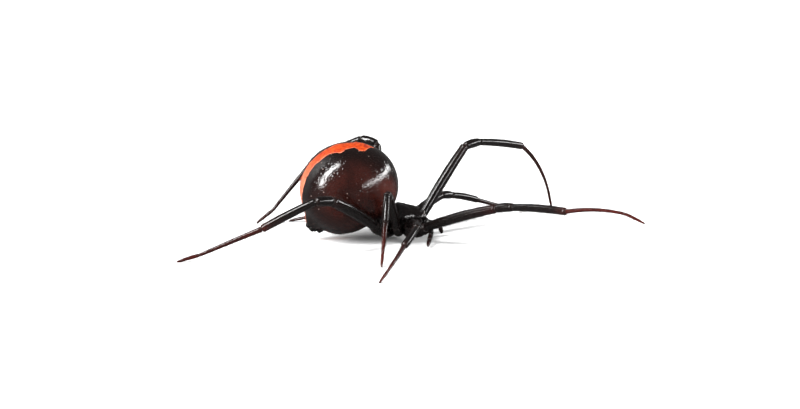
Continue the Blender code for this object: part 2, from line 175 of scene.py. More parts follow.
# Pit of the back, its six rays, and the groove on either side of the head.
PIT_FORWARD = 0.05
PIT_DEPTH = 0.16
PIT_LENGTH = 0.16
PIT_WIDTH = 0.26
RAY_HEIGHT = 0.022
RAY_REACH = 0.85
RAY_SPREAD = 0.35
NECK_DEPTH = 0.05
NECK_WIDTH = 0.10
NECK_START = 0.25
NECK_END = 1.35
NECK_FADE = 0.1
NECK_APART = 0.30
NECK_WIDENING = 0.42
RAYS = 6
CROWN_FULLNESS = 0.9
STERNUM_CENTRE = Vector((0.2, 0.0, 0.0))
STERNUM_LENGTH = 0.85
STERNUM_WIDTH = 0.42
STERNUM_RINGS = ((0.84, 0.55), (0.88, 0.85), (1.0, 1.0), (2.3, 1.0))
# Mouth parts in front of it: start, end, and the radius at each.
MOUTH_PARTS = (
    ((1.15, -0.22, 1.9), (2.0, -0.24, 0.95), 0.30, 0.20),
    ((1.15, 0.22, 1.9), (2.0, 0.24, 0.95), 0.30, 0.20),
    ((0.95, 0.0, 1.3), (1.5, 0.0, 0.9), 0.28, 0.16),
)
CONE_SIDES = 14
CONE_RINGS = 7
CONE_BULGE = 0.12
# Blunt end of a cone and of a jaw: where it starts, how round it is, and the least it leaves.
CONE_END = (0.8, 0.0445, 0.02)
JAW_ENDS = (0.86, 0.0202, 0.03)
WAIST_START = Vector((-0.5, 0.0, 1.70))
WAIST_RADIUS = 0.38
WAIST_FLARE = 0.25
WAIST_RISE = 36.0
WAIST_SUNK = 0.6
SKIN_VOXEL = 0.045
SKIN_EASING = 5

# Eyes: two rows across the face, each eye as height, sideways place and radius.
EYES = {
    "front_middle": (2.24, 0.17, 0.12),
    "front_outer": (2.27, 0.46, 0.12),
    "rear_middle": (2.53, 0.20, 0.12),
    "rear_outer": (2.49, 0.57, 0.12),
}
EYE_SUNK = 0.3
SOCKET_SIZE = 1.12
SOCKET_SUNK = 0.55

# Jaws, fangs and feelers.
JAW_TOP = Vector((2.30, 0.42, 1.95))
JAW_FOOT = Vector((2.22, 0.41, 0.80))
JAW_RADII = (0.26, 0.32, 0.20)
JAW_DEPTH = 1.05
JAW_BOW = 0.07
FANG_LENGTH = 0.42
FANG_RADIUS = 0.075
FANG_BEND = 1.9
FANG_TIP = 0.006
FANG_ACROSS = 0.42
FANG_FORWARD = (0.05, 0.16)
FANG_DOWN = (0.02, 0.5)
JAW_RINGS = 24
FANG_RINGS = 14
FEELER_RADII = ((0.18, 0.21, 0.20), (0.20, 0.225, 0.20), (0.19, 0.22, 0.19), (0.19, 0.215, 0.18),
                (0.18, 0.19, 0.09))
FEELER_BROWNS = ((0, 0, 0, 0), (0, 0, 0, 0), (0, 0, 0.05, 0.05), (0.05, 0.1, 0.1, 0.1),
                 (0.1, 0.15, 0.2, 0.4))
# Where a feeler's last three pieces part, and how far the first and the others bow up.
FEELER_PARTINGS = (0.22, 0.55)
FEELER_BOWS = (0.05, 0.03)
FEELERS = {
    "right": (Vector((2.25, -0.72, 1.40)), Vector((2.80, -1.0, 1.14)), Vector((2.82, -1.62, 0.92)),
              Vector((2.5, -3.9, 0.22))),
    "left": (Vector((2.40, 0.72, 1.55)), Vector((2.95, 0.92, 1.35)), Vector((3.5, 1.1, 1.5)),
             Vector((3.85, 1.65, 0.24))),
}

# Leg lengths by pair: femur, patella, tibia, metatarsus, tarsus.
LEG_LENGTHS = {
    1: (7.75, 1.83, 5.76, 6.15, 2.25),
    2: (5.2, 1.38, 3.25, 4.75, 1.74),
    3: (4.37, 1.3, 2.7, 3.26, 1.51),
    4: (6.7, 1.66, 5.3, 5.9, 2.0),
}
LEG_STOUTNESS = {1: 1.0, 2: 0.92, 3: 0.86, 4: 1.06}
FOOT_STOUTNESS = {1: 1.0, 2: 1.08, 3: 1.16, 4: 1.25}
# Painted shade: the left legs, on the far side away from most of the light, keep only this share of their
# red brown, so they look darker.
LEFT_LEGS_PAINTED_SHADE_SHARE = 0.45

# Real radii at the near end, the middle and the far end of each piece of a leg.
LEG_RADII = {
    "coxa": (0.28, 0.53, 0.41),
    "trochanter": (0.44, 0.53, 0.44),
    "femur": (0.39, 0.46, 0.39),
    "patella": (0.35, 0.42, 0.34),
    "tibia": (0.31, 0.355, 0.33),
    "metatarsus": (0.20, 0.165, 0.125),
    "tarsus": (0.13, 0.13, 0.075),
}

# Brownness of each piece of a leg at its start, middle, four fifths and end, by pair.
BROWNS = {
    1: ((0, 0, 0, 0), (0, 0, 0.05, 0.25), (0.05, 0, 0, 0.05), (0, 0, 0.02, 0.4), (0.7, 0.75, 0.8, 0.85),
        (0.9, 1.0, 1.0, 1.0)),
    2: ((0, 0, 0, 0), (0, 0, 0, 0.05), (0, 0, 0, 0.05), (0, 0, 0, 0.2), (0.2, 0.55, 0.8, 0.9),
        (0.9, 1.0, 1.0, 1.0)),
    3: ((0, 0, 0, 0), (0, 0, 0, 0.05), (0, 0, 0, 0.05), (0, 0, 0, 0.05), (0.0, 0.6, 1.0, 1.0),
        (1.0, 1.0, 1.0, 1.0)),
    4: ((0, 0, 0, 0), (0, 0, 0, 0.1), (0, 0, 0, 0.05), (0, 0, 0.1, 0.6), (0.55, 0.45, 0.5, 0.6),
        (0.7, 0.8, 0.85, 0.9)),
}

TROCHANTER_SHARE = 0.74
FEMUR_BOW = 0.16
TIBIA_BOW = 0.10
PATELLA_BOW = 0.06
TARSUS_BOW = 0.03
COXA_BOW_SHARES = (0.55, 0.05)
COXA_ROOT_HEADINGS = {1: 22.0, 2: 62.0, 3: 104.0, 4: 152.0}
COXA_ROOT_HEIGHT = 0.92
COXA_SAG = 0.28
FOOT_AXIS_HEIGHT = 0.055

# Pose of each leg: hip, heading of its plane, lean of that plane, then the rise of
# the femur, patella, tibia and the two halves of the metatarsus.
POSES = {
    (1, "right"): ((2.33, -1.76, 1.5), -42.5, -26.5, (21, 11.5, 4, 11, 1)),
    (2, "right"): ((0.9, -2.5, 1.8), -94, -41.5, (15.5, 0, -22.5, -17.5, -22)),
    (3, "right"): ((-0.37, -2.4, 1.74), -98, 3, (47.5, 17, -51.5, -42.5, -42)),
    (4, "right"): ((-2.28, -3.04, 1.86), -154, -39.5, (37.5, 7, -36.5, -28.5, -29)),
    (1, "left"): ((2.1, 1.85, 1.95), 42, 1.5, (48.5, 6, -10, -42.5, -60)),
    (2, "left"): ((0.92, 2.45, 1.5), 46, -26.5, (17, -7.5, -16.5, -20, -20)),
    (3, "left"): ((-0.29, 2.64, 1.75), 141, 50.5, (24.5, -23.5, -34.5, -35, -32.5)),
    (4, "left"): ((-1.92, 3.03, 1.62), 158, 18, (80.5, 14, -28.5, -53.5, -55)),
}
RAISED_LEG = (1, "right")
RAISED_TARSUS_RISE = -14
LEG_PARTS = ("coxa", "femur", "patella", "tibia", "metatarsus", "tarsus")

# How a limb is sampled, and how its joints are drawn in.
LIMB_STEP = 0.22
LIMB_SIDES = 18
CORNER_ROUNDING = 0.30
GROOVE_DEPTH = 0.24
GROOVE_WIDTH = 0.22
COLLAR_HEIGHT = 0.05
COLLAR_PLACE = 0.55
COLLAR_WIDTH = 0.25
TIP_BLUNT = 0.6
ROOT_BLUNT = 0.8
LINE_SPACING = 0.02
RING_SPACING = 0.004
JOINT_SPREAD = 0.6
JOINT_PLACES = (-1.1, -0.75, -0.5, -0.32, -0.17, 0.0, 0.17, 0.32, 0.5, 0.75, 1.1)
ROOT_PLACES = (0.0, 0.1, 0.3, 0.6)
TIP_PLACES = (1.2, 0.8, 0.5, 0.25, 0.1, 0.02)
BROWN_PLACES = (0.0, 0.5, 0.8, 1.0)

# Bristles: line of one, its taper, the spread of sizes, and its patch on the skin's unwrap.
BRISTLE_START = (0.0, 0.0, -0.06)
BRISTLE_MIDDLE = (0.0, 0.0, 0.55)
BRISTLE_END = (0.34, 0.0, 0.94)
BRISTLE_TAPER = 1.06
BRISTLE_SIZES = (0.6, 1.35)
TUFT_PATCH = 0.003
# Coats: share of the density and of the length, slenderness, lean in degrees, and stray.
ABDOMEN_COAT = (1.0, 1.0, 0.028, 58.0, 0.25)
FRONT_COAT = (0.4, 0.7, 0.03, 55.0, 0.4)
LEG_COAT = (1.0, 1.0, 0.026, 50.0, 0.3)
FEELER_COAT = (1.0, 0.8, 0.028, 48.0, 0.3)
# Where bristles thin out: start, rise and least share, by height or by place along a leg.
FRONT_FUR = (0.8, 0.8, 0.2)
LEG_FUR = (0.07, 0.05, 0.25)
ABDOMEN_LIE = (-1.0, 0.0, -0.15)
FRONT_LIE = (0.85, 0.0, -0.2)
UNWRAP_MARGIN = 0.01
FRONT_UNWRAP_HEIGHT = 1.8
FRONT_UNWRAP_LENGTH = 12.0
FLOOR_CLEAR = 0.02

# Claws and the comb's hooks: length, radius and curl of each.
CLAW = (0.20, 0.020, 1.5)
MIDDLE_CLAW = (0.09, 0.014, 1.2)
COMB_HOOK = (0.16, 0.010, 0.5)
COMB_HOOKS = 9
COMB_START = 0.08
COMB_SPACING = 0.055
HOOK_RINGS = 7
HOOK_TIP = 0.004
CLAW_CLEAR = 0.004

# Finishes: depth of relief, roughness and size of the pits for each shell, in metres.
SHELL_FINISHES = {
    "leg_finish": (0.0000030, 0.11, 0.00011),
    "carapace_finish": (0.000011, 0.08, 0.00020),
    "spinneret_finish": (0.000012, 0.30, 0.00014),
}
SHELL_PITS = 0.9
# Grain: edge of a pit, edge of a patch, and the scale of both noises against the pits.
PIT_EDGE = (0.05, 0.45)
PATCH_EDGE = (0.35, 0.68)
FINE_SCALE = 1.4
BROAD_SCALE = 0.12
ABDOMEN_RELIEF = 0.000010
ABDOMEN_PIT = 0.00026
ABDOMEN_PITS = 1.3
# Roughness of the abdomen, and what its patches, its sheen and its marks add.
ABDOMEN_ROUGHNESS = (0.10, 0.06, 0.34, 0.30)
SKIN_IOR = 1.38
# Fixed colours: speck, grain, the stripe's paler rear (partly its own tone, partly a painted sheen) and its
# rim, soft skin at the joints.
SPECK_COLOUR = (0.34, 0.26, 0.23, 1.0)
STRIPE_GRAIN = (0.47, 0.056, 0.003, 1.0)
STRIPE_REAR_TONE_AND_SHEEN = (0.46, 0.150, 0.085, 1.0)
STRIPE_RIM = (0.78, 0.260, 0.160, 1.0)
STRIPE_GRAIN_SCALE = 5200.0
STRIPE_GRAIN_EDGE = (0.36, 0.62)
# How strongly each shows: specks, the stripe's rear with its painted sheen, its rim, orange bristles, soft
# skin.
SPECK_SHARE = 0.6
REAR_TONE_AND_SHEEN_SHARE = 0.65
RIM_SHARE = 0.6
ORANGE_SHARE = 0.85
SOFT_SHARE = 0.4
# What soft skin and patches add to the roughness of a shell.
SOFT_ROUGHNESS = 0.35
PATCH_ROUGHNESS = 0.04
EYE_CLOUD_SCALE = 9000.0
FANG_STREAK_SCALE = 14000.0
FANG_RELIEF = 0.000004
SOFT_SKIN = (0.018, 0.007, 0.005, 1.0)
BRISTLE_TONES = ((0.006, 0.004, 0.004, 1.0), (0.020, 0.011, 0.009, 1.0))
BRISTLE_ORANGE = (0.60, 0.09, 0.02, 1.0)
BRISTLE_BROWN = (0.05, 0.014, 0.010, 1.0)
EYE_TONES = ((0.004, 0.003, 0.003, 1.0), (0.030, 0.014, 0.008, 1.0))
FANG_TONES = ((0.010, 0.004, 0.003, 1.0), (0.060, 0.012, 0.006, 1.0))
DEGREES = 180.0 / math.pi

# Camera and lights: the key and the side light make the long highlights, the back one the rim.
CAMERA_ELEVATION = 11.0
CAMERA_DISTANCE = 200.0
CAMERA_TARGET = Vector((0.0, 0.0, 3.25))
CAMERA_LENS = 99.0
CAMERA_SENSOR = 36.0
CAMERA_CLIP = (0.001, 20.0)
FLOOR_REACH = 4.0
KEY_DIRECTION = Vector((-0.675, -0.440, 0.60))
KEY_ALONG = Vector((-0.59, -0.13, -0.80))
SIDE_DIRECTION = Vector((0.90, -0.12, 0.30))
SIDE_ALONG = Vector((0.1, 1.0, 0.12))
BACK_DIRECTION = Vector((-0.77, 0.28, 0.58))
BACK_ALONG = Vector((0.36, -0.36, 0.65))
LIGHT_DISTANCE = 1.5
KEY_SIZE = (0.25, 1.7)
SIDE_SIZE = (0.14, 3.0)
BACK_SIZE = (0.08, 0.6)


class SpiderStageSettings(bpy.types.PropertyGroup):
    """Light and floor."""

    key_strength: FloatProperty(name="Key light", description="Power of the long key light", default=80.0,
                                min=0.0, unit="POWER")
    side_strength: FloatProperty(name="Side light", description="Power of the low side light", default=44.0,
                                 min=0.0, unit="POWER")
    back_strength: FloatProperty(name="Back light", description="Power of the light behind the rear",
                                 default=5.0, min=0.0, unit="POWER")
    sky_strength: FloatProperty(name="Sky", description="Strength of the plain sky", default=0.2, min=0.0)
    floor_mirrored: FloatProperty(name="Floor in reflections", description="How pale the floor is mirrored",
                                  default=0.12, min=0.0, max=1.0)
    floor_colour: FloatVectorProperty(name="Floor", description="Colour of the floor", subtype="COLOR",
                                      size=3, default=(0.9, 0.9, 0.9), min=0.0, max=1.0)


class SpiderColourSettings(bpy.types.PropertyGroup):
    """Colours of the skin and its marks."""

    stripe: FloatVectorProperty(name="Stripe", description="Colour of the stripe down the back",
                                subtype="COLOR", size=3, default=(0.20, 0.007, 0.0005), min=0.0, max=1.0)
    abdomen_dark: FloatVectorProperty(name="Abdomen, dark", description="Darkest tone of the abdomen",
                                      subtype="COLOR", size=3, default=(0.0040, 0.0018, 0.0016))
    abdomen_brown: FloatVectorProperty(name="Abdomen, brown", description="Brown tone of its flanks",
                                       subtype="COLOR", size=3, default=(0.060, 0.0120, 0.0080))
    shell_black: FloatVectorProperty(name="Legs, black", description="Black of the legs and the head",
                                     subtype="COLOR", size=3, default=(0.0035, 0.0025, 0.0024))
    shell_brown: FloatVectorProperty(name="Legs, brown", description="Red brown of the feet",
                                     subtype="COLOR", size=3, default=(0.044, 0.0066, 0.0047))


class SpiderBristleSettings(bpy.types.PropertyGroup):
    """Sizes of the short bristles."""

    abdomen_per_mm2: FloatProperty(name="Abdomen bristles", description="Bristles on a square millimetre",
                                   default=26.0, min=0.0)
    leg_per_mm2: FloatProperty(name="Leg bristles", description="Bristles on a square millimetre",
                               default=34.0, min=0.0)
    abdomen_length: FloatProperty(name="Abdomen bristle length", description="Length of a middling bristle",
                                  default=0.00024, min=0.0, subtype="DISTANCE", unit="LENGTH")
    leg_length: FloatProperty(name="Leg bristle length", description="Length of a middling bristle",
                              default=0.00030, min=0.0, subtype="DISTANCE", unit="LENGTH")
    seed: IntProperty(name="Seed", description="Seed of every random draw", default=11, min=0)


def settings():
    """The property groups that hang on the scene."""
    scene = bpy.context.scene
    return scene.spider_stage, scene.spider_colours, scene.spider_bristles


def feed(tree, node, sources):
    """Join each input of a node to its source, or set it to a value."""
    for socket, source in sources.items():
        if isinstance(source, bpy.types.NodeSocket):
            tree.links.new(source, node.inputs[socket])
        else:
            node.inputs[socket].default_value = source


def add(tree, kind, sources=None, **choices):
    """Add a node, make its choices, and feed its inputs."""
    made = tree.nodes.new(kind)
    for name, value in choices.items():
        setattr(made, name, value)
    feed(tree, made, sources or {})
    return made


def maths(tree, operation, *values, clamp=False):
    """Output of one Math node."""
    made = add(tree, "ShaderNodeMath", dict(enumerate(values)), operation=operation, use_clamp=clamp)
    return made.outputs[0]


def times(tree, first, second):
    """Product of two values."""
    return maths(tree, "MULTIPLY", first, second)


def plus(tree, first, second):
    """Sum of two values."""
    return maths(tree, "ADD", first, second)


def minus(tree, first, second):
    """First value less the second."""
    return maths(tree, "SUBTRACT", first, second)


def vector_maths(tree, operation, *values):
    """Output of one Vector Math node."""
    made = add(tree, "ShaderNodeVectorMath", dict(enumerate(values)), operation=operation)
    return made.outputs["Value" if operation == "DOT_PRODUCT" else "Vector"]


def scaled(tree, vector, size):
    """Vector times a number."""
    made = add(tree, "ShaderNodeVectorMath", {0: vector, "Scale": size}, operation="SCALE")
    return made.outputs["Vector"]


def noise(tree, place, scale, detail, roughness=0.5):
    """Soft random value at a place."""
    made = add(tree, "ShaderNodeTexNoise", {"Vector": place, "Scale": scale, "Detail": detail,
               "Roughness": roughness})
    return made.outputs["Fac"]


def stored(tree, name):
    """Shader value kept on the points of a skin or a bristle."""
    made = add(tree, "ShaderNodeAttribute", attribute_name=name, attribute_type="GEOMETRY")
    return made.outputs["Fac"]


def named(tree, name, kind="FLOAT"):
    """Named value of the geometry in a geometry tree."""
    made = add(tree, "GeometryNodeInputNamedAttribute", {"Name": name}, data_type=kind)
    return made.outputs["Attribute"]


def kept(tree, geometry, name, value, kind="FLOAT", domain="POINT"):
    """Geometry with one more named value."""
    made = add(tree, "GeometryNodeStoreNamedAttribute", {"Geometry": geometry, "Name": name,
               "Value": value}, data_type=kind, domain=domain)
    return made.outputs["Geometry"]


def ramp_between(tree, value, low, high):
    """Smooth step of a value from nought at low to one at high."""
    made = add(tree, "ShaderNodeMapRange", {"Value": value, "From Min": low, "From Max": high},
               interpolation_type="SMOOTHSTEP")
    return made.outputs["Result"]


def blend_colours(tree, factor, first, second):
    """Mix of two colours."""
    made = add(tree, "ShaderNodeMix", {0: factor, 6: first, 7: second}, data_type="RGBA")
    return made.outputs[2]


def geometry_tree(name, sockets):
    """Empty geometry tree with a geometry socket on each side and the named inputs."""
    tree = bpy.data.node_groups.new(name, "GeometryNodeTree")
    tree.interface.new_socket("Geometry", in_out="INPUT", socket_type="NodeSocketGeometry")
    for label, kind in sockets:
        tree.interface.new_socket(label, in_out="INPUT", socket_type="NodeSocket" + kind)
    tree.interface.new_socket("Geometry", in_out="OUTPUT", socket_type="NodeSocketGeometry")
    return tree, tree.nodes.new("NodeGroupInput").outputs, tree.nodes.new("NodeGroupOutput").inputs[0]


def new_object(name, data):
    """Object in the scene for a mesh, a light or a camera."""
    made = bpy.data.objects.new(name, data)
    bpy.context.scene.collection.objects.link(made)
    return made


def grow(name, mesh, tree, values):
    """Run a geometry tree on a mesh and keep the result as a plain mesh object."""
    piece = new_object(name, mesh)
    modifier = piece.modifiers.new("growth", "NODES")
    modifier.node_group = tree
    for item in tree.interface.items_tree:
        if item.item_type == "SOCKET" and item.in_out == "INPUT" and item.name in values:
            modifier[item.identifier] = values[item.name]
    result = evaluated_mesh(piece)
    piece.modifiers.clear()
    piece.data = result
    result.name = name
    return piece


def evaluated_mesh(piece):
    """Plain mesh of a piece as its modifiers leave it."""
    bpy.context.view_layer.update()
    return bpy.data.meshes.new_from_object(piece.evaluated_get(bpy.context.evaluated_depsgraph_get()))


def show(name, mesh, material):
    """Link a mesh as a piece of the model."""
    piece = new_object(name, mesh)
    mesh.name = name
    mesh.materials.clear()
    mesh.materials.append(material)
    mesh.shade_smooth()
    return piece


def to_model(points):
    """Body-frame millimetres to model-frame metres."""
    return (np.asarray(points, float) - np.array(span_centre())) * MM


def mesh_of(shape):
    """Mesh of a bmesh in body-frame millimetres, brought to the model's frame."""
    bmesh.ops.recalc_face_normals(shape, faces=shape.faces)
    bmesh.ops.translate(shape, verts=shape.verts, vec=-span_centre())
    bmesh.ops.scale(shape, verts=shape.verts, vec=(MM, MM, MM))
    mesh = bpy.data.meshes.new("shape")
    shape.to_mesh(mesh)
    shape.free()
    return mesh


def loft(shape, rings):
    """Closed surface through rings of points, added to a bmesh."""
    loops = [[shape.verts.new(point) for point in ring] for ring in rings]
    count = len(loops[0])
    for near, far in zip(loops, loops[1:]):
        for k in range(count):
            following = (k + 1) % count
            shape.faces.new((near[k], near[following], far[following], far[k]))
    shape.faces.new(list(reversed(loops[0])))
    shape.faces.new(loops[-1])


def store(mesh, name, kind, values):
    """Put one value on each point of a mesh."""
    layer = mesh.attributes.new(name, kind, "POINT")
    field = "vector" if kind == "FLOAT_VECTOR" else "value"
    layer.data.foreach_set(field, np.asarray(values, np.float32).ravel())


def oval(centre, across, above, count):
    """Closed ring of points about a centre, from its two half axes."""
    turns = [2 * math.pi * k / count for k in range(count)]
    return [centre + across * math.cos(turn) + above * math.sin(turn) for turn in turns]


def through(sizes, share):
    """Size at a share of the way through a first, a middle and a last one."""
    first, middle, last = sizes
    rest = 1 - share
    return first * rest * (1 - 2 * share) + middle * 4 * share * rest + last * share * (2 * share - 1)


def blunt(share, start, rounding, least):
    """Narrowing of a cone or a jaw past the start of its end."""
    return math.sqrt(max(1 - max(share - start, 0) ** 2 / rounding, least))


def fur_over(values, start, rise, least):
    """Share of the bristles that grow at each point, from the least to all."""
    return np.clip((values - start) / rise, least, 1.0)


def level(heading):
    """Level direction at a heading."""
    return Vector((math.cos(math.radians(heading)), math.sin(math.radians(heading)), 0))


def leg_up(heading, lean):
    """Upward direction inside a leg's leaning plane."""
    upright = Vector((0, 0, 1))
    sideways = level(heading).cross(upright)
    return upright * math.cos(math.radians(lean)) + sideways * math.sin(math.radians(lean))


def direction(heading, lean, rise):
    """Unit vector at a rise inside an upright plane that leans over sideways."""
    rise = math.radians(rise)
    return level(heading) * math.cos(rise) + leg_up(heading, lean) * math.sin(rise)


def leg_joints(key, foot_height):
    """Points of a leg: hip, knee, both ends of the tibia, metatarsus middle and end, tip."""
    hip, heading, lean, rises = POSES[key]
    femur, patella, tibia, metatarsus, tarsus = LEG_LENGTHS[key[0]]
    points = [Vector(hip)]
    for length, rise in zip((femur, patella, tibia, metatarsus / 2, metatarsus / 2), rises):
        points.append(points[-1] + direction(heading, lean, rise) * length)
    rise = RAISED_TARSUS_RISE
    if key != RAISED_LEG:
        drop = (points[-1].z - foot_height) / (tarsus * math.cos(math.radians(lean)))
        rise = -math.degrees(math.asin(drop))
    points.append(points[-1] + direction(heading, lean, rise) * tarsus)
    return points


def span_centre():
    """Middle of the floor area that the solid feet span."""
    tips = [leg_joints(key, 0.02)[-1] for key in POSES]
    middle_x = (min(tip.x for tip in tips) + max(tip.x for tip in tips)) / 2
    middle_y = (min(tip.y for tip in tips) + max(tip.y for tip in tips)) / 2
    return Vector((middle_x, middle_y, 0))


def coxa_root(key):
    """Point beside the sternum where a leg starts."""
    pair, side = key
    heading = math.radians(COXA_ROOT_HEADINGS[pair])
    mirror = 1 if side == "left" else -1
    offset = Vector((STERNUM_LENGTH * math.cos(heading), mirror * STERNUM_WIDTH * math.sin(heading), 0))
    point = STERNUM_CENTRE + offset
    point.z = COXA_ROOT_HEIGHT
    return point


def limb_line(corners, bows):
    """Centre line through the corners as closely spaced points, its corners rounded."""
    line = []
    starts = [0.0]
    travelled = 0.0
    for near, far, bow in zip(corners, corners[1:], bows):
        length = (far - near).length
        count = max(int(length / LINE_SPACING), 8)
        for k in range(count):
            share = k / count
            line.append(near.lerp(far, share) + bow * (4 * share * (1 - share)))
        travelled += length
        starts.append(travelled)
    line.append(corners[-1].copy())
    line = np.array(line)
    steps = np.linalg.norm(np.diff(line, axis=0), axis=1)
    travel = np.concatenate(([0.0], np.cumsum(steps)))
    travel *= travelled / travel[-1]
    even = np.linspace(0.0, travelled, int(travelled / LINE_SPACING) + 1)
    line = np.stack([np.interp(even, travel, line[:, axis]) for axis in range(3)], axis=1)
    reach = int(CORNER_ROUNDING / LINE_SPACING)
    window = np.hanning(2 * reach + 3)[1:-1]
    window /= window.sum()
    before = line[0] - (line[1] - line[0]) * np.arange(reach, 0, -1)[:, None]
    after = line[-1] + (line[-1] - line[-2]) * np.arange(1, reach + 1)[:, None]
    padded = np.concatenate((before, line, after))
    line = np.stack([np.convolve(padded[:, axis], window, "valid") for axis in range(3)], axis=1)
    return even, line, starts


def limb_places(starts, radii):
    """Places along a limb where its skin has a ring, closer together at the joints."""
    places = set()
    for k, (near, far) in enumerate(zip(starts, starts[1:])):
        width = radii[k][1]
        ends = [near + place * width * JOINT_SPREAD for place in JOINT_PLACES]
        if k == 0:
            ends = [near + share * width for share in ROOT_PLACES]
        places.update(round(place, 4) for place in ends)
        count = max(int((far - near) / LIMB_STEP), 3)
        inner = np.linspace(near + 0.7 * width, far - 0.7 * width, count)
        places.update(round(float(place), 4) for place in inner)
    total = starts[-1]
    places.update(round(total - radii[-1][2] * share, 4) for share in TIP_PLACES)
    places.add(total)
    travel = np.array(sorted(place for place in places if 0 <= place <= total))
    return travel[np.concatenate(([True], np.diff(travel) > RING_SPACING))]


def rounded(share):
    """Narrowing towards a blunt end, from a share of the way to it."""
    share = np.clip(share, 0.0, 1.0)
    return np.maximum(np.sqrt(1 - (1 - share) ** 2), 0.05)


def limb_mesh(name, corners, bows, radii, browns, material):
    """Skin of a limb as one mesh: a joint between each two pieces, soft in its groove."""
    even, line, starts = limb_line(corners, bows)
    total = starts[-1]
    travel = limb_places(starts, radii)
    radius, brown, soft = np.zeros((3, len(travel)))
    for k, (near, far) in enumerate(zip(starts, starts[1:])):
        inside = (travel >= near) & (travel <= far)
        share = (travel[inside] - near) / (far - near)
        radius[inside] = through(radii[k], share)
        brown[inside] = np.interp(share, BROWN_PLACES, browns[k])
    for k, joint in enumerate(starts[1:-1]):
        width = (radii[k][2] + radii[k + 1][0]) / 2
        away = np.abs(travel - joint) / width
        groove = np.exp(-(away / GROOVE_WIDTH) ** 2)
        collar = np.exp(-((away - COLLAR_PLACE) / COLLAR_WIDTH) ** 2)
        radius *= 1 - GROOVE_DEPTH * groove + COLLAR_HEIGHT * collar
        soft = np.maximum(soft, groove)
    radius *= rounded((total - travel) / (radii[-1][2] * TIP_BLUNT))
    radius *= rounded(travel / (radii[0][0] * ROOT_BLUNT))
    points = np.stack([np.interp(travel, even, line[:, axis]) for axis in range(3)], axis=1)
    mesh = bpy.data.meshes.new(name + "_line")
    count = len(points)
    mesh.from_pydata(to_model(points).tolist(), [(k, k + 1) for k in range(count - 1)], [])
    values = {"radius": radius * MM, "brown": brown, "soft": soft, "travel": travel / total}
    for label, value in values.items():
        store(mesh, label, "FLOAT", value)
    piece = grow(name, mesh, limb_tree(), {"Sides": LIMB_SIDES, "Material": material})
    lay_out_rings(piece.data, count, LIMB_SIDES)
    return piece


def limb_tree():
    """Geometry tree: a line of points becomes a round skin with the stored radii."""
    name = "spider_limb"
    if name in bpy.data.node_groups:
        return bpy.data.node_groups[name]
    tree, given, out = geometry_tree(name, (("Sides", "Int"), ("Material", "Material")))
    curve = add(tree, "GeometryNodeMeshToCurve", {"Mesh": given["Geometry"]}).outputs["Curve"]
    tangent = add(tree, "GeometryNodeInputTangent").outputs["Tangent"]
    flowing = kept(tree, curve, "flow", tangent, "FLOAT_VECTOR")
    circle = add(tree, "GeometryNodeCurvePrimitiveCircle", {"Resolution": given["Sides"], "Radius": 1.0})
    skin = add(tree, "GeometryNodeCurveToMesh", {"Curve": flowing, "Scale": named(tree, "radius"),
               "Profile Curve": circle.outputs["Curve"], "Fill Caps": True})
    smooth = add(tree, "GeometryNodeSetShadeSmooth", {"Geometry": skin.outputs["Mesh"]})
    plain = add(tree, "GeometryNodeRealizeInstances", {"Geometry": smooth.outputs["Geometry"]})
    coated = add(tree, "GeometryNodeSetMaterial", {"Geometry": plain.outputs["Geometry"],
                 "Material": given["Material"]})
    tree.links.new(coated.outputs["Geometry"], out)
    return tree


def on_unwrap(share):
    """Place on an unwrap, a little way in from its edge."""
    return UNWRAP_MARGIN + (1 - 2 * UNWRAP_MARGIN) * share


def lay_out_rings(mesh, rings, sides):
    """Unwrap a skin of equal rings: along its length and once round it."""
    layer = mesh.uv_layers.new(name="root_place")
    for polygon in mesh.polygons:
        around = [mesh.loops[loop].vertex_index % sides for loop in polygon.loop_indices]
        crosses = 0 in around and sides - 1 in around and len(around) == 4
        for loop, turn in zip(polygon.loop_indices, around):
            ring = mesh.loops[loop].vertex_index // sides
            turn = sides if crosses and turn == 0 else turn
            layer.data[loop].uv = (on_unwrap(ring / max(rings - 1, 1)), on_unwrap(turn / sides))


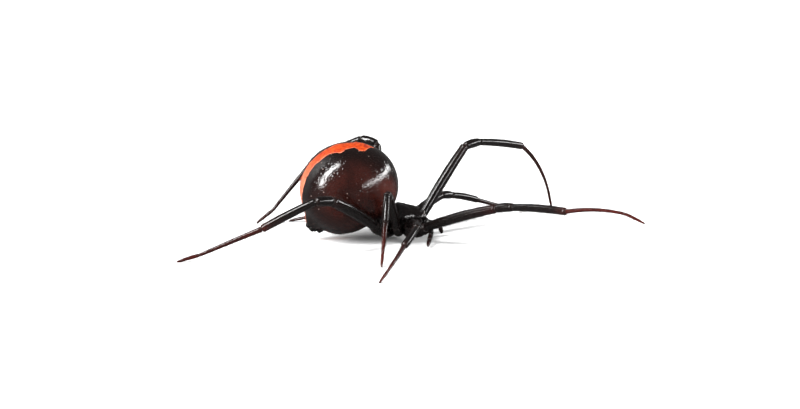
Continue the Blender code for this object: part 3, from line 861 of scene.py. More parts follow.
def bristle_tree():
    """Geometry tree: short curved bristles that lean along the flow of a skin."""
    name = "spider_bristles"
    if name in bpy.data.node_groups:
        return bpy.data.node_groups[name]
    tree, given, out = geometry_tree(name, (
        ("Density", "Float"), ("Length", "Float"), ("Slenderness", "Float"), ("Lean", "Float"),
        ("Spread", "Float"), ("Seed", "Int"), ("Material", "Material")))
    points = add(tree, "GeometryNodeDistributePointsOnFaces", {
        "Mesh": given["Geometry"], "Density": times(tree, named(tree, "fur"), given["Density"]),
        "Seed": given["Seed"]}, distribute_method="RANDOM")
    jitter = add(tree, "FunctionNodeRandomValue", {0: (-1.0, -1.0, -1.0), 1: (1.0, 1.0, 1.0),
                 "Seed": given["Seed"]}, data_type="FLOAT_VECTOR").outputs[0]
    strayed = scaled(tree, jitter, given["Spread"])
    lie = vector_maths(tree, "ADD", named(tree, "flow", "FLOAT_VECTOR"), strayed)
    lying = scaled(tree, lie, maths(tree, "SINE", given["Lean"]))
    rising = scaled(tree, points.outputs["Normal"], maths(tree, "COSINE", given["Lean"]))
    heading = vector_maths(tree, "ADD", lying, rising)
    stand = add(tree, "FunctionNodeAlignRotationToVector", {"Vector": heading}, axis="Z")
    turned = add(tree, "FunctionNodeAlignRotationToVector", {"Rotation": stand.outputs["Rotation"],
                 "Vector": lie}, axis="X", pivot_axis="Z")
    line = add(tree, "GeometryNodeCurveQuadraticBezier", {
        "Resolution": 3, "Start": BRISTLE_START, "Middle": BRISTLE_MIDDLE, "End": BRISTLE_END})
    along = add(tree, "GeometryNodeSplineParameter").outputs["Factor"]
    taper = times(tree, minus(tree, BRISTLE_TAPER, along), given["Slenderness"])
    section = add(tree, "GeometryNodeCurvePrimitiveCircle", {"Resolution": 3, "Radius": 1.0})
    around = add(tree, "GeometryNodeSplineParameter").outputs["Factor"]
    bristle = add(tree, "GeometryNodeCurveToMesh", {
        "Curve": kept(tree, line.outputs["Curve"], "along", along), "Scale": taper,
        "Profile Curve": kept(tree, section.outputs["Curve"], "around", around), "Fill Caps": True})
    size = add(tree, "FunctionNodeRandomValue", {2: BRISTLE_SIZES[0], 3: BRISTLE_SIZES[1],
               "Seed": given["Seed"]}, data_type="FLOAT").outputs[1]
    planted = add(tree, "GeometryNodeInstanceOnPoints", {
        "Points": points.outputs["Points"], "Instance": bristle.outputs["Mesh"],
        "Rotation": turned.outputs["Rotation"], "Scale": times(tree, size, given["Length"])})
    plain = add(tree, "GeometryNodeRealizeInstances", {"Geometry": planted.outputs["Instances"]})
    patch = add(tree, "ShaderNodeCombineXYZ", {
        "X": times(tree, named(tree, "along"), TUFT_PATCH),
        "Y": times(tree, named(tree, "around"), TUFT_PATCH * 1.5)})
    place = vector_maths(tree, "ADD", named(tree, "root_place", "FLOAT_VECTOR"), patch.outputs["Vector"])
    mapped = kept(tree, plain.outputs["Geometry"], "OFBake", place, "FLOAT2", "CORNER")
    smooth = add(tree, "GeometryNodeSetShadeSmooth", {"Geometry": mapped})
    coated = add(tree, "GeometryNodeSetMaterial", {"Geometry": smooth.outputs["Geometry"],
                 "Material": given["Material"]})
    tree.links.new(coated.outputs["Geometry"], out)
    return tree


def plant_bristles(part, material, per_mm2, length, coat, seed):
    """Bristles over the skin of a part, as a piece of their own."""
    density_share, length_share, slenderness, lean, stray = coat
    skin = bpy.data.objects[part + "_skin"].data
    piece = grow(part + "_bristles", skin.copy(), bristle_tree(), {
        "Density": per_mm2 * density_share / MM ** 2, "Length": length * length_share,
        "Slenderness": slenderness, "Lean": math.radians(lean), "Spread": stray, "Seed": seed,
        "Material": material})
    for vert in piece.data.vertices:
        vert.co.z = max(vert.co.z, FLOOR_CLEAR * MM)
    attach(piece, "root")
    return piece


def shader_group(name, inputs, outputs):
    """Empty shader group with the named sockets."""
    tree = bpy.data.node_groups.new(name, "ShaderNodeTree")
    for label, kind in inputs:
        tree.interface.new_socket(label, in_out="INPUT", socket_type="NodeSocket" + kind)
    for label, kind in outputs:
        tree.interface.new_socket(label, in_out="OUTPUT", socket_type="NodeSocket" + kind)
    return tree, tree.nodes.new("NodeGroupInput").outputs, tree.nodes.new("NodeGroupOutput")


def grain_group():
    """Relief of the skin: small pits where bristles grow, over a fine unevenness."""
    name = "skin_grain"
    if name in bpy.data.node_groups:
        return bpy.data.node_groups[name]
    tree, given, out = shader_group(name, (("Place", "Vector"), ("Pit size", "Float"), ("Pits", "Float")),
                                    (("Height", "Float"), ("Patches", "Float")))
    scale = maths(tree, "DIVIDE", 1.0, given["Pit size"])
    cells = add(tree, "ShaderNodeTexVoronoi", {"Vector": given["Place"], "Scale": scale}, feature="F1")
    pits = ramp_between(tree, cells.outputs["Distance"], *PIT_EDGE)
    fine = noise(tree, given["Place"], times(tree, scale, FINE_SCALE), 2.0, 0.6)
    broad = noise(tree, given["Place"], times(tree, scale, BROAD_SCALE), 3.0)
    height = plus(tree, times(tree, pits, given["Pits"]), fine)
    feed(tree, out, {"Height": height, "Patches": ramp_between(tree, broad, *PATCH_EDGE)})
    return tree


def marks_group():
    """Stripe on the back, hourglass on the belly and pale specks, by place on the abdomen."""
    name = "abdomen_marks"
    if name in bpy.data.node_groups:
        return bpy.data.node_groups[name]
    tree, given, out = shader_group(name, (("Place", "Vector"),), (
        ("Stripe", "Float"), ("Rim", "Float"), ("Rear tone and sheen", "Float"), ("Sheen", "Float"), ("Hourglass", "Float"),
        ("Specks", "Float"), ("Flank", "Float"), ("Own place", "Vector")))
    own = add(tree, "ShaderNodeMapping", {
        "Vector": given["Place"], "Location": to_model([ABDOMEN_CENTRE])[0],
        "Rotation": (math.radians(ABDOMEN_ROLL), 0.0, math.radians(ABDOMEN_YAW))},
        vector_type="TEXTURE").outputs["Vector"]
    unit = vector_maths(tree, "DIVIDE", own, tuple(radius * MM for radius in ABDOMEN_RADII))
    unit = vector_maths(tree, "NORMALIZE", unit)
    parts = add(tree, "ShaderNodeSeparateXYZ", {"Vector": unit})
    x, y, z = (parts.outputs[axis] for axis in "XYZ")
    across = times(tree, maths(tree, "ARCSINE", y), DEGREES)
    aside = maths(tree, "ABSOLUTE", across)
    wander = 0.0
    for scale, detail, reach in EDGE_WANDERS:
        wander = plus(tree, wander, times(tree, minus(tree, noise(tree, own, scale, detail), 0.5), reach))

    cosine = math.cos(math.radians(STRIPE_HEADING))
    sine = math.sin(math.radians(STRIPE_HEADING))
    stripe_start, stripe_end = STRIPE_WIDTHS[0][0], STRIPE_WIDTHS[-1][0]
    turned_x = plus(tree, times(tree, x, cosine), times(tree, z, sine))
    turned_z = minus(tree, times(tree, z, cosine), times(tree, x, sine))
    along = times(tree, maths(tree, "ARCTAN2", turned_z, turned_x), DEGREES)
    share = maths(tree, "DIVIDE", minus(tree, along, stripe_start), stripe_end - stripe_start)
    widths = add(tree, "ShaderNodeValToRGB", {"Fac": share})
    fill_ramp(widths.color_ramp, [((place - stripe_start) / (stripe_end - stripe_start), width / WIDEST)
                                  for place, width in STRIPE_WIDTHS])
    on_left = times(tree, maths(tree, "GREATER_THAN", across, 0.0), STRIPE_LEFT_SHORT)
    width = times(tree, widths.outputs["Color"], minus(tree, WIDEST, on_left))
    present = times(tree, maths(tree, "GREATER_THAN", share, 0.0), maths(tree, "LESS_THAN", share, 1.0))
    margin = minus(tree, plus(tree, width, wander), aside)
    lapse = times(tree, maths(tree, "LESS_THAN", width, STRIPE_LEAST), STRIPE_LAPSE)
    margin = minus(tree, margin, lapse)
    stripe = times(tree, ramp_between(tree, margin, *EDGE_SOFTNESS), present)
    rim = times(tree, stripe, minus(tree, 1.0, ramp_between(tree, margin, *RIM_BAND)))
    started = ramp_between(tree, along, *SHEEN_START)
    beside = times(tree, ramp_between(tree, margin, *SHEEN_NEARNESS), started)
    sheen = times(tree, beside, ramp_between(tree, along, *SHEEN_END))
    feed(tree, out, {"Stripe": stripe, "Rim": rim, "Rear tone and sheen": ramp_between(tree, along, *REAR_TONE_AND_SHEEN_BAND),
                     "Sheen": sheen, "Own place": own})

    belly = times(tree, maths(tree, "ARCTAN2", z, x), DEGREES)
    from_middle = maths(tree, "ABSOLUTE", minus(tree, belly, HOURGLASS_HEADING))
    glass_width = plus(tree, HOURGLASS_WAIST, times(tree, from_middle, HOURGLASS_FLARE))
    glass = minus(tree, plus(tree, glass_width, times(tree, wander, HOURGLASS_WANDER)), aside)
    ends = ramp_between(tree, from_middle, *HOURGLASS_ENDS)
    feed(tree, out, {"Hourglass": times(tree, ramp_between(tree, glass, *HOURGLASS_SOFTNESS), ends)})

    cells = add(tree, "ShaderNodeTexVoronoi", {"Vector": own, "Scale": SPECK_SCALE}, feature="F1")
    chosen = add(tree, "ShaderNodeSeparateColor", {"Color": cells.outputs["Color"]}).outputs["Red"]
    dots = ramp_between(tree, cells.outputs["Distance"], *SPECK_EDGE)
    feed(tree, out, {"Specks": times(tree, dots, maths(tree, "GREATER_THAN", chosen, SPECK_DRAW))})

    mirrored = add(tree, "ShaderNodeCombineXYZ", {"X": x, "Y": maths(tree, "ABSOLUTE", y), "Z": z})
    towards = vector_maths(tree, "DOT_PRODUCT", mirrored.outputs["Vector"], FLANK_PATCH)
    patch = times(tree, ramp_between(tree, towards, *FLANK_EDGE), FLANK_SHARES[0])
    broad = times(tree, ramp_between(tree, aside, *FLANK_ASIDE), ramp_between(tree, z, *FLANK_HEIGHT))
    feed(tree, out, {"Flank": plus(tree, patch, times(tree, broad, FLANK_SHARES[1]))})
    return tree


def fill_ramp(ramp, stops):
    """Set a colour ramp to grey stops."""
    ramp.interpolation = "CARDINAL"
    while len(ramp.elements) < len(stops):
        ramp.elements.new(1.0)
    for element, (place, grey) in zip(ramp.elements, stops):
        element.position = place
        element.color = (grey, grey, grey, 1.0)


def new_material(name):
    """Material with its shader, its tree and its own place."""
    material = bpy.data.materials.new(name)
    material.use_nodes = True
    tree = material.node_tree
    place = add(tree, "ShaderNodeTexCoord").outputs["Object"]
    return material, tree, tree.nodes["Principled BSDF"], place


def bump(tree, shader, height, strength, depth):
    """Relief from a height, in metres of depth."""
    made = add(tree, "ShaderNodeBump", {"Height": height, "Strength": strength, "Distance": depth})
    feed(tree, shader, {"Normal": made.outputs["Normal"]})


def colour4(colour):
    """Colour with full cover."""
    return (*tuple(colour)[:3], 1.0)


def abdomen_material():
    """Glossy brown-black skin with the orange stripe, the hourglass and pale specks."""
    name = "abdomen_skin_finish"
    if name in bpy.data.materials:
        return bpy.data.materials[name]
    colours = settings()[1]
    material, tree, shader, place = new_material(name)
    marks = add(tree, "ShaderNodeGroup", {"Place": place}, node_tree=marks_group()).outputs
    grain = add(tree, "ShaderNodeGroup", {"Place": marks["Own place"], "Pit size": ABDOMEN_PIT,
                "Pits": ABDOMEN_PITS}, node_tree=grain_group()).outputs
    tone = times(tree, marks["Flank"], plus(tree, 0.4, times(tree, grain["Patches"], 0.6)))
    skin = blend_colours(tree, tone, colour4(colours.abdomen_dark), colour4(colours.abdomen_brown))
    skin = blend_colours(tree, times(tree, marks["Specks"], SPECK_SHARE), skin, SPECK_COLOUR)
    grains = noise(tree, marks["Own place"], STRIPE_GRAIN_SCALE, 2.0)
    grained = ramp_between(tree, grains, *STRIPE_GRAIN_EDGE)
    glowing = blend_colours(tree, grained, colour4(colours.stripe), STRIPE_GRAIN)
    # The stripe turns salmon towards its rear: partly its own tone, partly a painted sheen.
    glowing = blend_colours(tree, times(tree, marks["Rear tone and sheen"], REAR_TONE_AND_SHEEN_SHARE), glowing, STRIPE_REAR_TONE_AND_SHEEN)
    glowing = blend_colours(tree, times(tree, marks["Rim"], RIM_SHARE), glowing, STRIPE_RIM)
    marked = maths(tree, "MAXIMUM", marks["Stripe"], marks["Hourglass"])
    rough = ABDOMEN_ROUGHNESS[0]
    for mask, more in zip((grain["Patches"], marks["Sheen"], marked), ABDOMEN_ROUGHNESS[1:]):
        rough = plus(tree, rough, times(tree, mask, more))
    feed(tree, shader, {"Base Color": blend_colours(tree, marked, skin, glowing), "Roughness": rough,
                        "IOR": SKIN_IOR})
    bump(tree, shader, grain["Height"], 1.0, ABDOMEN_RELIEF)
    return material


def shell_material(name):
    """Black shell that turns red brown where the skin's own brown value says so."""
    if name in bpy.data.materials:
        return bpy.data.materials[name]
    relief, gloss, pit = SHELL_FINISHES[name]
    colours = settings()[1]
    material, tree, shader, place = new_material(name)
    grain = add(tree, "ShaderNodeGroup", {"Place": place, "Pit size": pit, "Pits": SHELL_PITS},
                node_tree=grain_group()).outputs
    brown = stored(tree, "brown")
    soft = stored(tree, "soft")
    uneven = times(tree, minus(tree, grain["Patches"], 0.5), times(tree, brown, 0.5))
    tone = maths(tree, "ADD", brown, uneven, clamp=True)
    shade = blend_colours(tree, tone, colour4(colours.shell_black), colour4(colours.shell_brown))
    shade = blend_colours(tree, times(tree, soft, SOFT_SHARE), shade, SOFT_SKIN)
    rough = plus(tree, gloss, times(tree, soft, SOFT_ROUGHNESS))
    rough = plus(tree, rough, times(tree, grain["Patches"], PATCH_ROUGHNESS))
    feed(tree, shader, {"Base Color": shade, "Roughness": rough, "IOR": SKIN_IOR})
    bump(tree, shader, grain["Height"], 1.0, relief)
    return material


def bristle_material(name, on_abdomen):
    """Fine dark bristles, orange where they grow on the stripe."""
    if name in bpy.data.materials:
        return bpy.data.materials[name]
    material, tree, shader, place = new_material(name)
    dark = blend_colours(tree, stored(tree, "along"), *BRISTLE_TONES)
    if on_abdomen:
        marks = add(tree, "ShaderNodeGroup", {"Place": place}, node_tree=marks_group()).outputs
        marked = maths(tree, "MAXIMUM", marks["Stripe"], marks["Hourglass"])
        dark = blend_colours(tree, times(tree, marked, ORANGE_SHARE), dark, BRISTLE_ORANGE)
    else:
        dark = blend_colours(tree, stored(tree, "brown"), dark, BRISTLE_BROWN)
    feed(tree, shader, {"Base Color": dark, "Roughness": 0.4, "Specular IOR Level": 0.15})
    return material


def eye_material():
    """Dark wet lens with a faint amber depth."""
    name = "eye_finish"
    if name in bpy.data.materials:
        return bpy.data.materials[name]
    material, tree, shader, place = new_material(name)
    shade = blend_colours(tree, noise(tree, place, EYE_CLOUD_SCALE, 2.0), *EYE_TONES)
    feed(tree, shader, {"Base Color": shade, "Roughness": 0.06, "Coat Weight": 1.0,
                        "Coat Roughness": 0.02})
    return material


def fang_material():
    """Hard dark horn with red-brown streaks."""
    name = "fang_finish"
    if name in bpy.data.materials:
        return bpy.data.materials[name]
    material, tree, shader, place = new_material(name)
    streaks = noise(tree, place, FANG_STREAK_SCALE, 3.0)
    shade = blend_colours(tree, streaks, *FANG_TONES)
    feed(tree, shader, {"Base Color": shade, "Roughness": 0.15, "Coat Weight": 0.6})
    bump(tree, shader, streaks, 0.3, FANG_RELIEF)
    return material


def abdomen_radius(outward):
    """Growth of the globe in each direction, an array of unit vectors in its own frame."""
    growth = np.ones(len(outward))
    for heading, turn, height, spread in SWELLINGS + SMALL_RELIEF:
        heading, turn = math.radians(heading), math.radians(turn)
        level_share = math.cos(turn)
        axis = np.array((math.cos(heading) * level_share, -math.sin(turn), math.sin(heading) * level_share))
        angle = np.degrees(np.arccos(np.clip(outward @ axis, -1.0, 1.0)))
        growth += height * np.exp(-(angle / spread) ** 2)
    heading = np.degrees(np.arctan2(outward[:, 2], outward[:, 0]))
    turn = np.degrees(np.arcsin(np.clip(outward[:, 1], -1.0, 1.0)))
    furrow = np.exp(-((heading - FURROW_HEADING) / FURROW_WIDTH) ** 2) * np.exp(-(turn / FURROW_REACH) ** 4)
    return growth - FURROW_DEPTH * furrow


def abdomen_turn():
    """Rotation of the abdomen against the front half of the body."""
    yaw = Matrix.Rotation(math.radians(ABDOMEN_YAW), 3, "Z")
    return yaw @ Matrix.Rotation(math.radians(ABDOMEN_ROLL), 3, "X")


def abdomen_skin():
    """Skin of the abdomen, with the lie of its bristles and a place for each on its unwrap."""
    rings, around = ABDOMEN_ALONG, ABDOMEN_AROUND
    polar = np.pi * np.arange(1, rings) / rings
    turn = 2 * np.pi * np.arange(around) / around
    x = np.repeat(np.cos(polar), around)
    y = (np.sin(polar)[:, None] * np.cos(turn)).ravel()
    z = (np.sin(polar)[:, None] * np.sin(turn)).ravel()
    outward = np.concatenate((np.stack((x, y, z), axis=1), [[1.0, 0.0, 0.0], [-1.0, 0.0, 0.0]]))
    radii = np.array(ABDOMEN_RADII) - ABDOMEN_INSET
    points = outward * radii * abdomen_radius(outward)[:, None]
    spin = np.array(abdomen_turn())
    points = points @ spin.T + np.array(ABDOMEN_CENTRE)
    front, back = len(points) - 2, len(points) - 1
    faces = []
    for ring in range(rings - 2):
        for k in range(around):
            following = (k + 1) % around
            faces.append((ring * around + k, (ring + 1) * around + k, (ring + 1) * around + following,
                          ring * around + following))
    last = (rings - 2) * around
    faces += [(front, k, (k + 1) % around) for k in range(around)]
    faces += [(back, last + (k + 1) % around, last + k) for k in range(around)]
    mesh = bpy.data.meshes.new("abdomen")
    mesh.from_pydata(to_model(points).tolist(), [], faces)
    backward = spin @ np.array(ABDOMEN_LIE)
    store(mesh, "flow", "FLOAT_VECTOR", np.tile(backward, (len(points), 1)))
    store(mesh, "fur", "FLOAT", np.ones(len(points)))
    layer = mesh.uv_layers.new(name="root_place")
    for polygon in mesh.polygons:
        ring_of = [mesh.loops[loop].vertex_index for loop in polygon.loop_indices]
        steps = [index % around for index in ring_of if index < front]
        crosses = 0 in steps and around - 1 in steps
        for loop, index in zip(polygon.loop_indices, ring_of):
            step = steps[0] if index >= front else index % around
            step = around if crosses and step == 0 else step
            ring = 0 if index == front else rings if index == back else index // around + 1
            layer.data[loop].uv = (on_unwrap(ring / rings), on_unwrap(step / around))
    return mesh


def cone_between(shape, base, tip, base_radius, tip_radius):
    """Blunt rounded cone added to a bmesh."""
    along = (tip - base).normalized()
    across = along.orthogonal().normalized()
    above = along.cross(across)
    loops = []
    for k in range(CONE_RINGS + 1):
        t = k / CONE_RINGS
        radius = base_radius * (1 - t) + tip_radius * t + base_radius * CONE_BULGE * math.sin(math.pi * t)
        radius *= blunt(t, *CONE_END)
        loops.append(oval(base.lerp(tip, t), across * radius, above * radius, CONE_SIDES))
    loft(shape, loops)


def make_spinnerets(surface):
    """Three pairs of blunt cones and the small hood behind them."""
    shape = bmesh.new()
    low, high = SPINNERET_STEPS
    heading = math.radians(SPINNERET_HEADING)
    turn = abdomen_turn()
    axis = turn @ Vector((math.cos(heading), 0, math.sin(heading)))
    across = turn @ Vector((0, 1, 0))
    along = axis.cross(across)
    for forward, sideways, length, base_radius, tip_radius in SPINNERETS:
        offset = along * forward + across * sideways
        hit = surface.ray_cast(ABDOMEN_CENTRE + axis * 9 + offset, -axis)[0]
        outward = (axis - offset * SPINNERET_SPLAY).normalized()
        middle = hit + outward * length * SPINNERET_MEETING
        cone_between(shape, hit - outward * SPINNERET_SUNK, middle, base_radius, base_radius * low)
        start = middle - outward * SPINNERET_OVERLAP
        cone_between(shape, start, hit + outward * length, base_radius * high, tip_radius)
    return voxel_skin("spinnerets", shape, SPINNERET_VOXEL, SPINNERET_EASING)


def body_surface(mesh):
    """Search tree of a mesh, in body-frame millimetres."""
    centre = span_centre()
    points = [vert.co / MM + centre for vert in mesh.vertices]
    return BVHTree.FromPolygons(points, [tuple(polygon.vertices) for polygon in mesh.polygons])


def station_between(x):
    """Half width and top of the carapace at any distance forward."""
    table = np.array(CARAPACE_STATIONS)
    knots = table[:, 0]
    k = int(np.clip(np.searchsorted(knots, x) - 1, 0, len(knots) - 2))
    t = (x - knots[k]) / (knots[k + 1] - knots[k])
    a, b = table[max(k - 1, 0)], table[k]
    c, d = table[k + 1], table[min(k + 2, len(table) - 1)]
    bend = (2 * a - 5 * b + 4 * c - d) * t ** 2
    value = 0.5 * (2 * b + (c - a) * t + bend + (3 * b - a - 3 * c + d) * t ** 3)
    return value[1] - CARAPACE_INSET, value[2] - CARAPACE_INSET


def carapace_rings():
    """Rings of the carapace: raised head, pit at the middle of the back, faint rays."""
    rings = []
    first, last = CARAPACE_STATIONS[0][0], CARAPACE_STATIONS[-1][0]
    for k in range(CARAPACE_ALONG + 1):
        x = first + (last - first) * k / CARAPACE_ALONG
        half, top = station_between(x)
        ahead = x - PIT_FORWARD
        started = 1 / (1 + math.exp((NECK_START - x) / NECK_FADE))
        neck = started / (1 + math.exp((x - NECK_END) / NECK_FADE))
        apart = NECK_APART + NECK_WIDENING * max(x - 0.1, 0)
        ring = []
        for s in range(CARAPACE_AROUND + 1):
            angle = math.pi * s / CARAPACE_AROUND
            height = (top - CARAPACE_RIM) * math.sin(angle) ** CROWN_FULLNESS
            y = half * math.cos(angle)
            pit = PIT_DEPTH * math.exp(-(ahead / PIT_LENGTH) ** 2 - (y / PIT_WIDTH) ** 2)
            fade = math.exp(-((math.hypot(ahead, y) - RAY_REACH) / RAY_SPREAD) ** 2)
            rays = RAY_HEIGHT * math.cos(RAYS * math.atan2(y, ahead)) * fade
            groove = NECK_DEPTH * math.exp(-((abs(y) - apart) / NECK_WIDTH) ** 2)
            sunk = (pit + groove * neck - rays) * math.sin(angle)
            ring.append(Vector((x, y, CARAPACE_RIM + height - sunk)))
        for share in (-0.6, 0.0, 0.6):
            ring.append(Vector((x, half * share, CARAPACE_RIM - CARAPACE_UNDER)))
        rings.append(ring)
    return rings


def voxel_skin(name, shape, voxel, easing):
    """One closed, softened surface round overlapping closed shapes."""
    piece = new_object(name, mesh_of(shape))
    remesh = piece.modifiers.new("remesh", "REMESH")
    remesh.mode = "VOXEL"
    remesh.voxel_size = voxel * MM
    ease = piece.modifiers.new("ease", "SMOOTH")
    ease.factor = 0.5
    ease.iterations = easing
    result = evaluated_mesh(piece)
    bpy.data.objects.remove(piece, do_unlink=True)
    return result


def front_skin(abdomen_tree):
    """Carapace, sternum, mouth parts and waist as one skin."""
    shape = bmesh.new()
    loft(shape, carapace_rings())
    rings = []
    for height, share in STERNUM_RINGS:
        across, above = Vector((STERNUM_LENGTH * share, 0, 0)), Vector((0, STERNUM_WIDTH * share, 0))
        rings.append(oval(STERNUM_CENTRE + Vector((0, 0, height)), across, above, 28))
    loft(shape, rings)
    for start, end, first, last in MOUTH_PARTS:
        cone_between(shape, Vector(start), Vector(end), first, last)
    climb = direction(180, 0, WAIST_RISE)
    above = direction(180, 0, WAIST_RISE + 90)
    start = WAIST_START
    end = abdomen_tree.ray_cast(start, climb)[0] + climb * WAIST_SUNK
    rings = []
    for k in range(9):
        t = k / 8
        radius = WAIST_RADIUS * (1 + WAIST_FLARE - WAIST_FLARE * math.sin(math.pi * t))
        rings.append(oval(start.lerp(end, t), Vector((0, radius, 0)), above * radius, 20))
    loft(shape, rings)
    for height, sideways, radius in EYES.values():
        for mirror in (-1, 1):
            centre = eye_place(height, mirror * sideways, radius)
            behind = centre - Vector((radius * SOCKET_SUNK, 0, 0))
            bmesh.ops.create_uvsphere(shape, u_segments=16, v_segments=10, radius=radius * SOCKET_SIZE,
                                      matrix=Matrix.Translation(behind))
    return voxel_skin("cephalothorax", shape, SKIN_VOXEL, SKIN_EASING)


def eye_place(height, sideways, radius):
    """Centre of an eye on the slope of the face."""
    shape = bmesh.new()
    loft(shape, carapace_rings())
    surface = BVHTree.FromBMesh(shape)
    shape.free()
    hit = surface.ray_cast(Vector((9, sideways, height)), Vector((-1, 0, 0)))[0]
    return hit - Vector((radius * EYE_SUNK, 0, 0))


class SPIDER_OT_stage(bpy.types.Operator):
    """Camera, light and pale floor"""

    bl_idname = "spider.stage"
    bl_label = "Stage"

    def execute(self, context):
        """Set up what isn't part of the spider."""
        stage = settings()[0]
        centre = span_centre()
        target = (CAMERA_TARGET - centre) * MM
        angle = math.radians(CAMERA_ELEVATION)
        camera = bpy.data.cameras.new("camera")
        camera.lens = CAMERA_LENS
        camera.sensor_width = CAMERA_SENSOR
        camera.clip_start, camera.clip_end = CAMERA_CLIP
        viewer = new_object("camera", camera)
        viewer.location = target + Vector((0, -math.cos(angle), math.sin(angle))) * CAMERA_DISTANCE * MM
        viewer.rotation_euler = (math.pi / 2 - angle, 0.0, 0.0)
        bpy.context.scene.camera = viewer
        make_light("key_light", KEY_DIRECTION, KEY_ALONG, KEY_SIZE, stage.key_strength)
        make_light("side_light", SIDE_DIRECTION, SIDE_ALONG, SIDE_SIZE, stage.side_strength)
        make_light("back_light", BACK_DIRECTION, BACK_ALONG, BACK_SIZE, stage.back_strength)
        floor = bmesh.new()
        bmesh.ops.create_grid(floor, x_segments=2, y_segments=2, size=FLOOR_REACH)
        mesh = bpy.data.meshes.new("floor")
        floor.to_mesh(mesh)
        floor.free()
        material, tree, shader, _ = new_material("floor_finish")
        mirrored = add(tree, "ShaderNodeLightPath").outputs["Is Glossy Ray"]
        dim = colour4([stage.floor_mirrored] * 3)
        shade = blend_colours(tree, mirrored, colour4(stage.floor_colour), dim)
        feed(tree, shader, {"Base Color": shade, "Roughness": 0.9, "Specular IOR Level": 0.1})
        show("floor", mesh, material)
        world = bpy.data.worlds.new("studio")
        world.use_nodes = True
        sky = {"Color": (1.0, 1.0, 1.0, 1.0), "Strength": stage.sky_strength}
        feed(world.node_tree, world.node_tree.nodes["Background"], sky)
        bpy.context.scene.world = world
        bpy.context.scene.view_settings.view_transform = "Standard"
        return {"FINISHED"}


def make_light(name, towards, along, size, power):
    """Long soft light that looks at the spider from one direction."""
    towards = towards.normalized()
    data = bpy.data.lights.new(name, "AREA")
    data.shape = "RECTANGLE"
    data.size, data.size_y = size
    data.energy = power
    across = along.cross(towards).normalized()
    upward = towards.cross(across)
    lamp = new_object(name, data)
    lamp.matrix_world = Matrix.Translation(towards * LIGHT_DISTANCE) @ Matrix(
        (across, upward, towards)).transposed().to_4x4()


class SPIDER_OT_abdomen(bpy.types.Operator):
    """Abdomen skin and its spinnerets"""

    bl_idname = "spider.abdomen"
    bl_label = "Abdomen"

    def execute(self, context):
        """One skin for the whole abdomen, and the cones at its end."""
        mesh = abdomen_skin()
        skin = show("abdomen_skin", mesh, abdomen_material())
        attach(skin, "root")
        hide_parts("abdomen")
        cones = show("spinnerets", make_spinnerets(body_surface(mesh)), shell_material("spinneret_finish"))
        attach(cones, "root")
        return {"FINISHED"}


class SPIDER_OT_front(bpy.types.Operator):
    """Carapace, sternum and waist"""

    bl_idname = "spider.front"
    bl_label = "Front of the body"

    def execute(self, context):
        """One skin for the front half, from the waist to the face."""
        abdomen = body_surface(bpy.data.objects["abdomen_skin"].data)
        mesh = front_skin(abdomen)
        store(mesh, "flow", "FLOAT_VECTOR", np.tile(FRONT_LIE, (len(mesh.vertices), 1)))
        heights = np.array([vert.co.z / MM for vert in mesh.vertices])
        store(mesh, "fur", "FLOAT", fur_over(heights, *FRONT_FUR))
        layer = mesh.uv_layers.new(name="root_place")
        middle = -span_centre().y
        for loop in mesh.loops:
            point = mesh.vertices[loop.vertex_index].co / MM
            turn = math.atan2(point.z - FRONT_UNWRAP_HEIGHT, point.y - middle) / (2 * math.pi) + 0.5
            layer.data[loop.index].uv = (0.5 + point.x / FRONT_UNWRAP_LENGTH, 0.02 + 0.96 * turn)
        skin = show("cephalothorax_skin", mesh, shell_material("carapace_finish"))
        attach(skin, "root")
        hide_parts("cephalothorax", "pedicel")
        return {"FINISHED"}


class SPIDER_OT_eyes(bpy.types.Operator):
    """Eight eyes"""

    bl_idname = "spider.eyes"
    bl_label = "Eyes"

    def execute(self, context):
        """Two rows of four small wet lenses."""
        for label, (height, sideways, radius) in EYES.items():
            for side, mirror in zip(SIDES, (-1, 1)):
                shape = bmesh.new()
                centre = eye_place(height, mirror * sideways, radius)
                bmesh.ops.create_uvsphere(shape, u_segments=24, v_segments=16, radius=radius,
                                          matrix=Matrix.Translation(centre))
                piece = show("eye_{}_{}".format(label, side), mesh_of(shape), eye_material())
                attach(piece, "root")
        return {"FINISHED"}


class SPIDER_OT_jaws(bpy.types.Operator):
    """Jaws and fangs"""

    bl_idname = "spider.jaws"
    bl_label = "Jaws and fangs"

    def execute(self, context):
        """Both jaws, each with its folded fang."""
        for side, mirror in zip(SIDES, (-1, 1)):
            flip = Vector((1, mirror, 1))
            top, foot = JAW_TOP * flip, JAW_FOOT * flip
            rings = []
            for k in range(JAW_RINGS + 1):
                t = k / JAW_RINGS
                radius = through(JAW_RADII, t) * blunt(abs(2 * t - 1), *JAW_ENDS)
                centre = top.lerp(foot, t) + Vector((JAW_BOW * math.sin(math.pi * t), 0, 0))
                rings.append(oval(centre, Vector((radius * JAW_DEPTH, 0, 0)), Vector((0, radius, 0)), 24))
            shape = bmesh.new()
            loft(shape, rings)
            jaw = show("chelicera_{}_skin".format(side), mesh_of(shape), shell_material("carapace_finish"))
            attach(jaw, "root")
            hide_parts("chelicera_" + side)
            fang = show("fang_" + side, fang_mesh(foot, mirror), fang_material())
            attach(fang, "root")
        return {"FINISHED"}


def fang_mesh(foot, mirror):
    """Curved tooth folded across under a jaw."""
    rings = []
    for k in range(FANG_RINGS + 1):
        t = k / FANG_RINGS
        bend = FANG_BEND * t
        forward = FANG_FORWARD[0] - FANG_FORWARD[1] * math.sin(bend)
        drop = FANG_DOWN[0] - FANG_LENGTH * FANG_DOWN[1] * math.sin(bend * 0.8)
        centre = foot + Vector((forward, -mirror * FANG_LENGTH * FANG_ACROSS * t, drop))
        radius = FANG_RADIUS * (1 - t) ** 0.7 + FANG_TIP
        rings.append(oval(centre, Vector((radius, 0, 0)), Vector((0, radius, 0)), 12))
    shape = bmesh.new()
    loft(shape, rings)
    return mesh_of(shape)


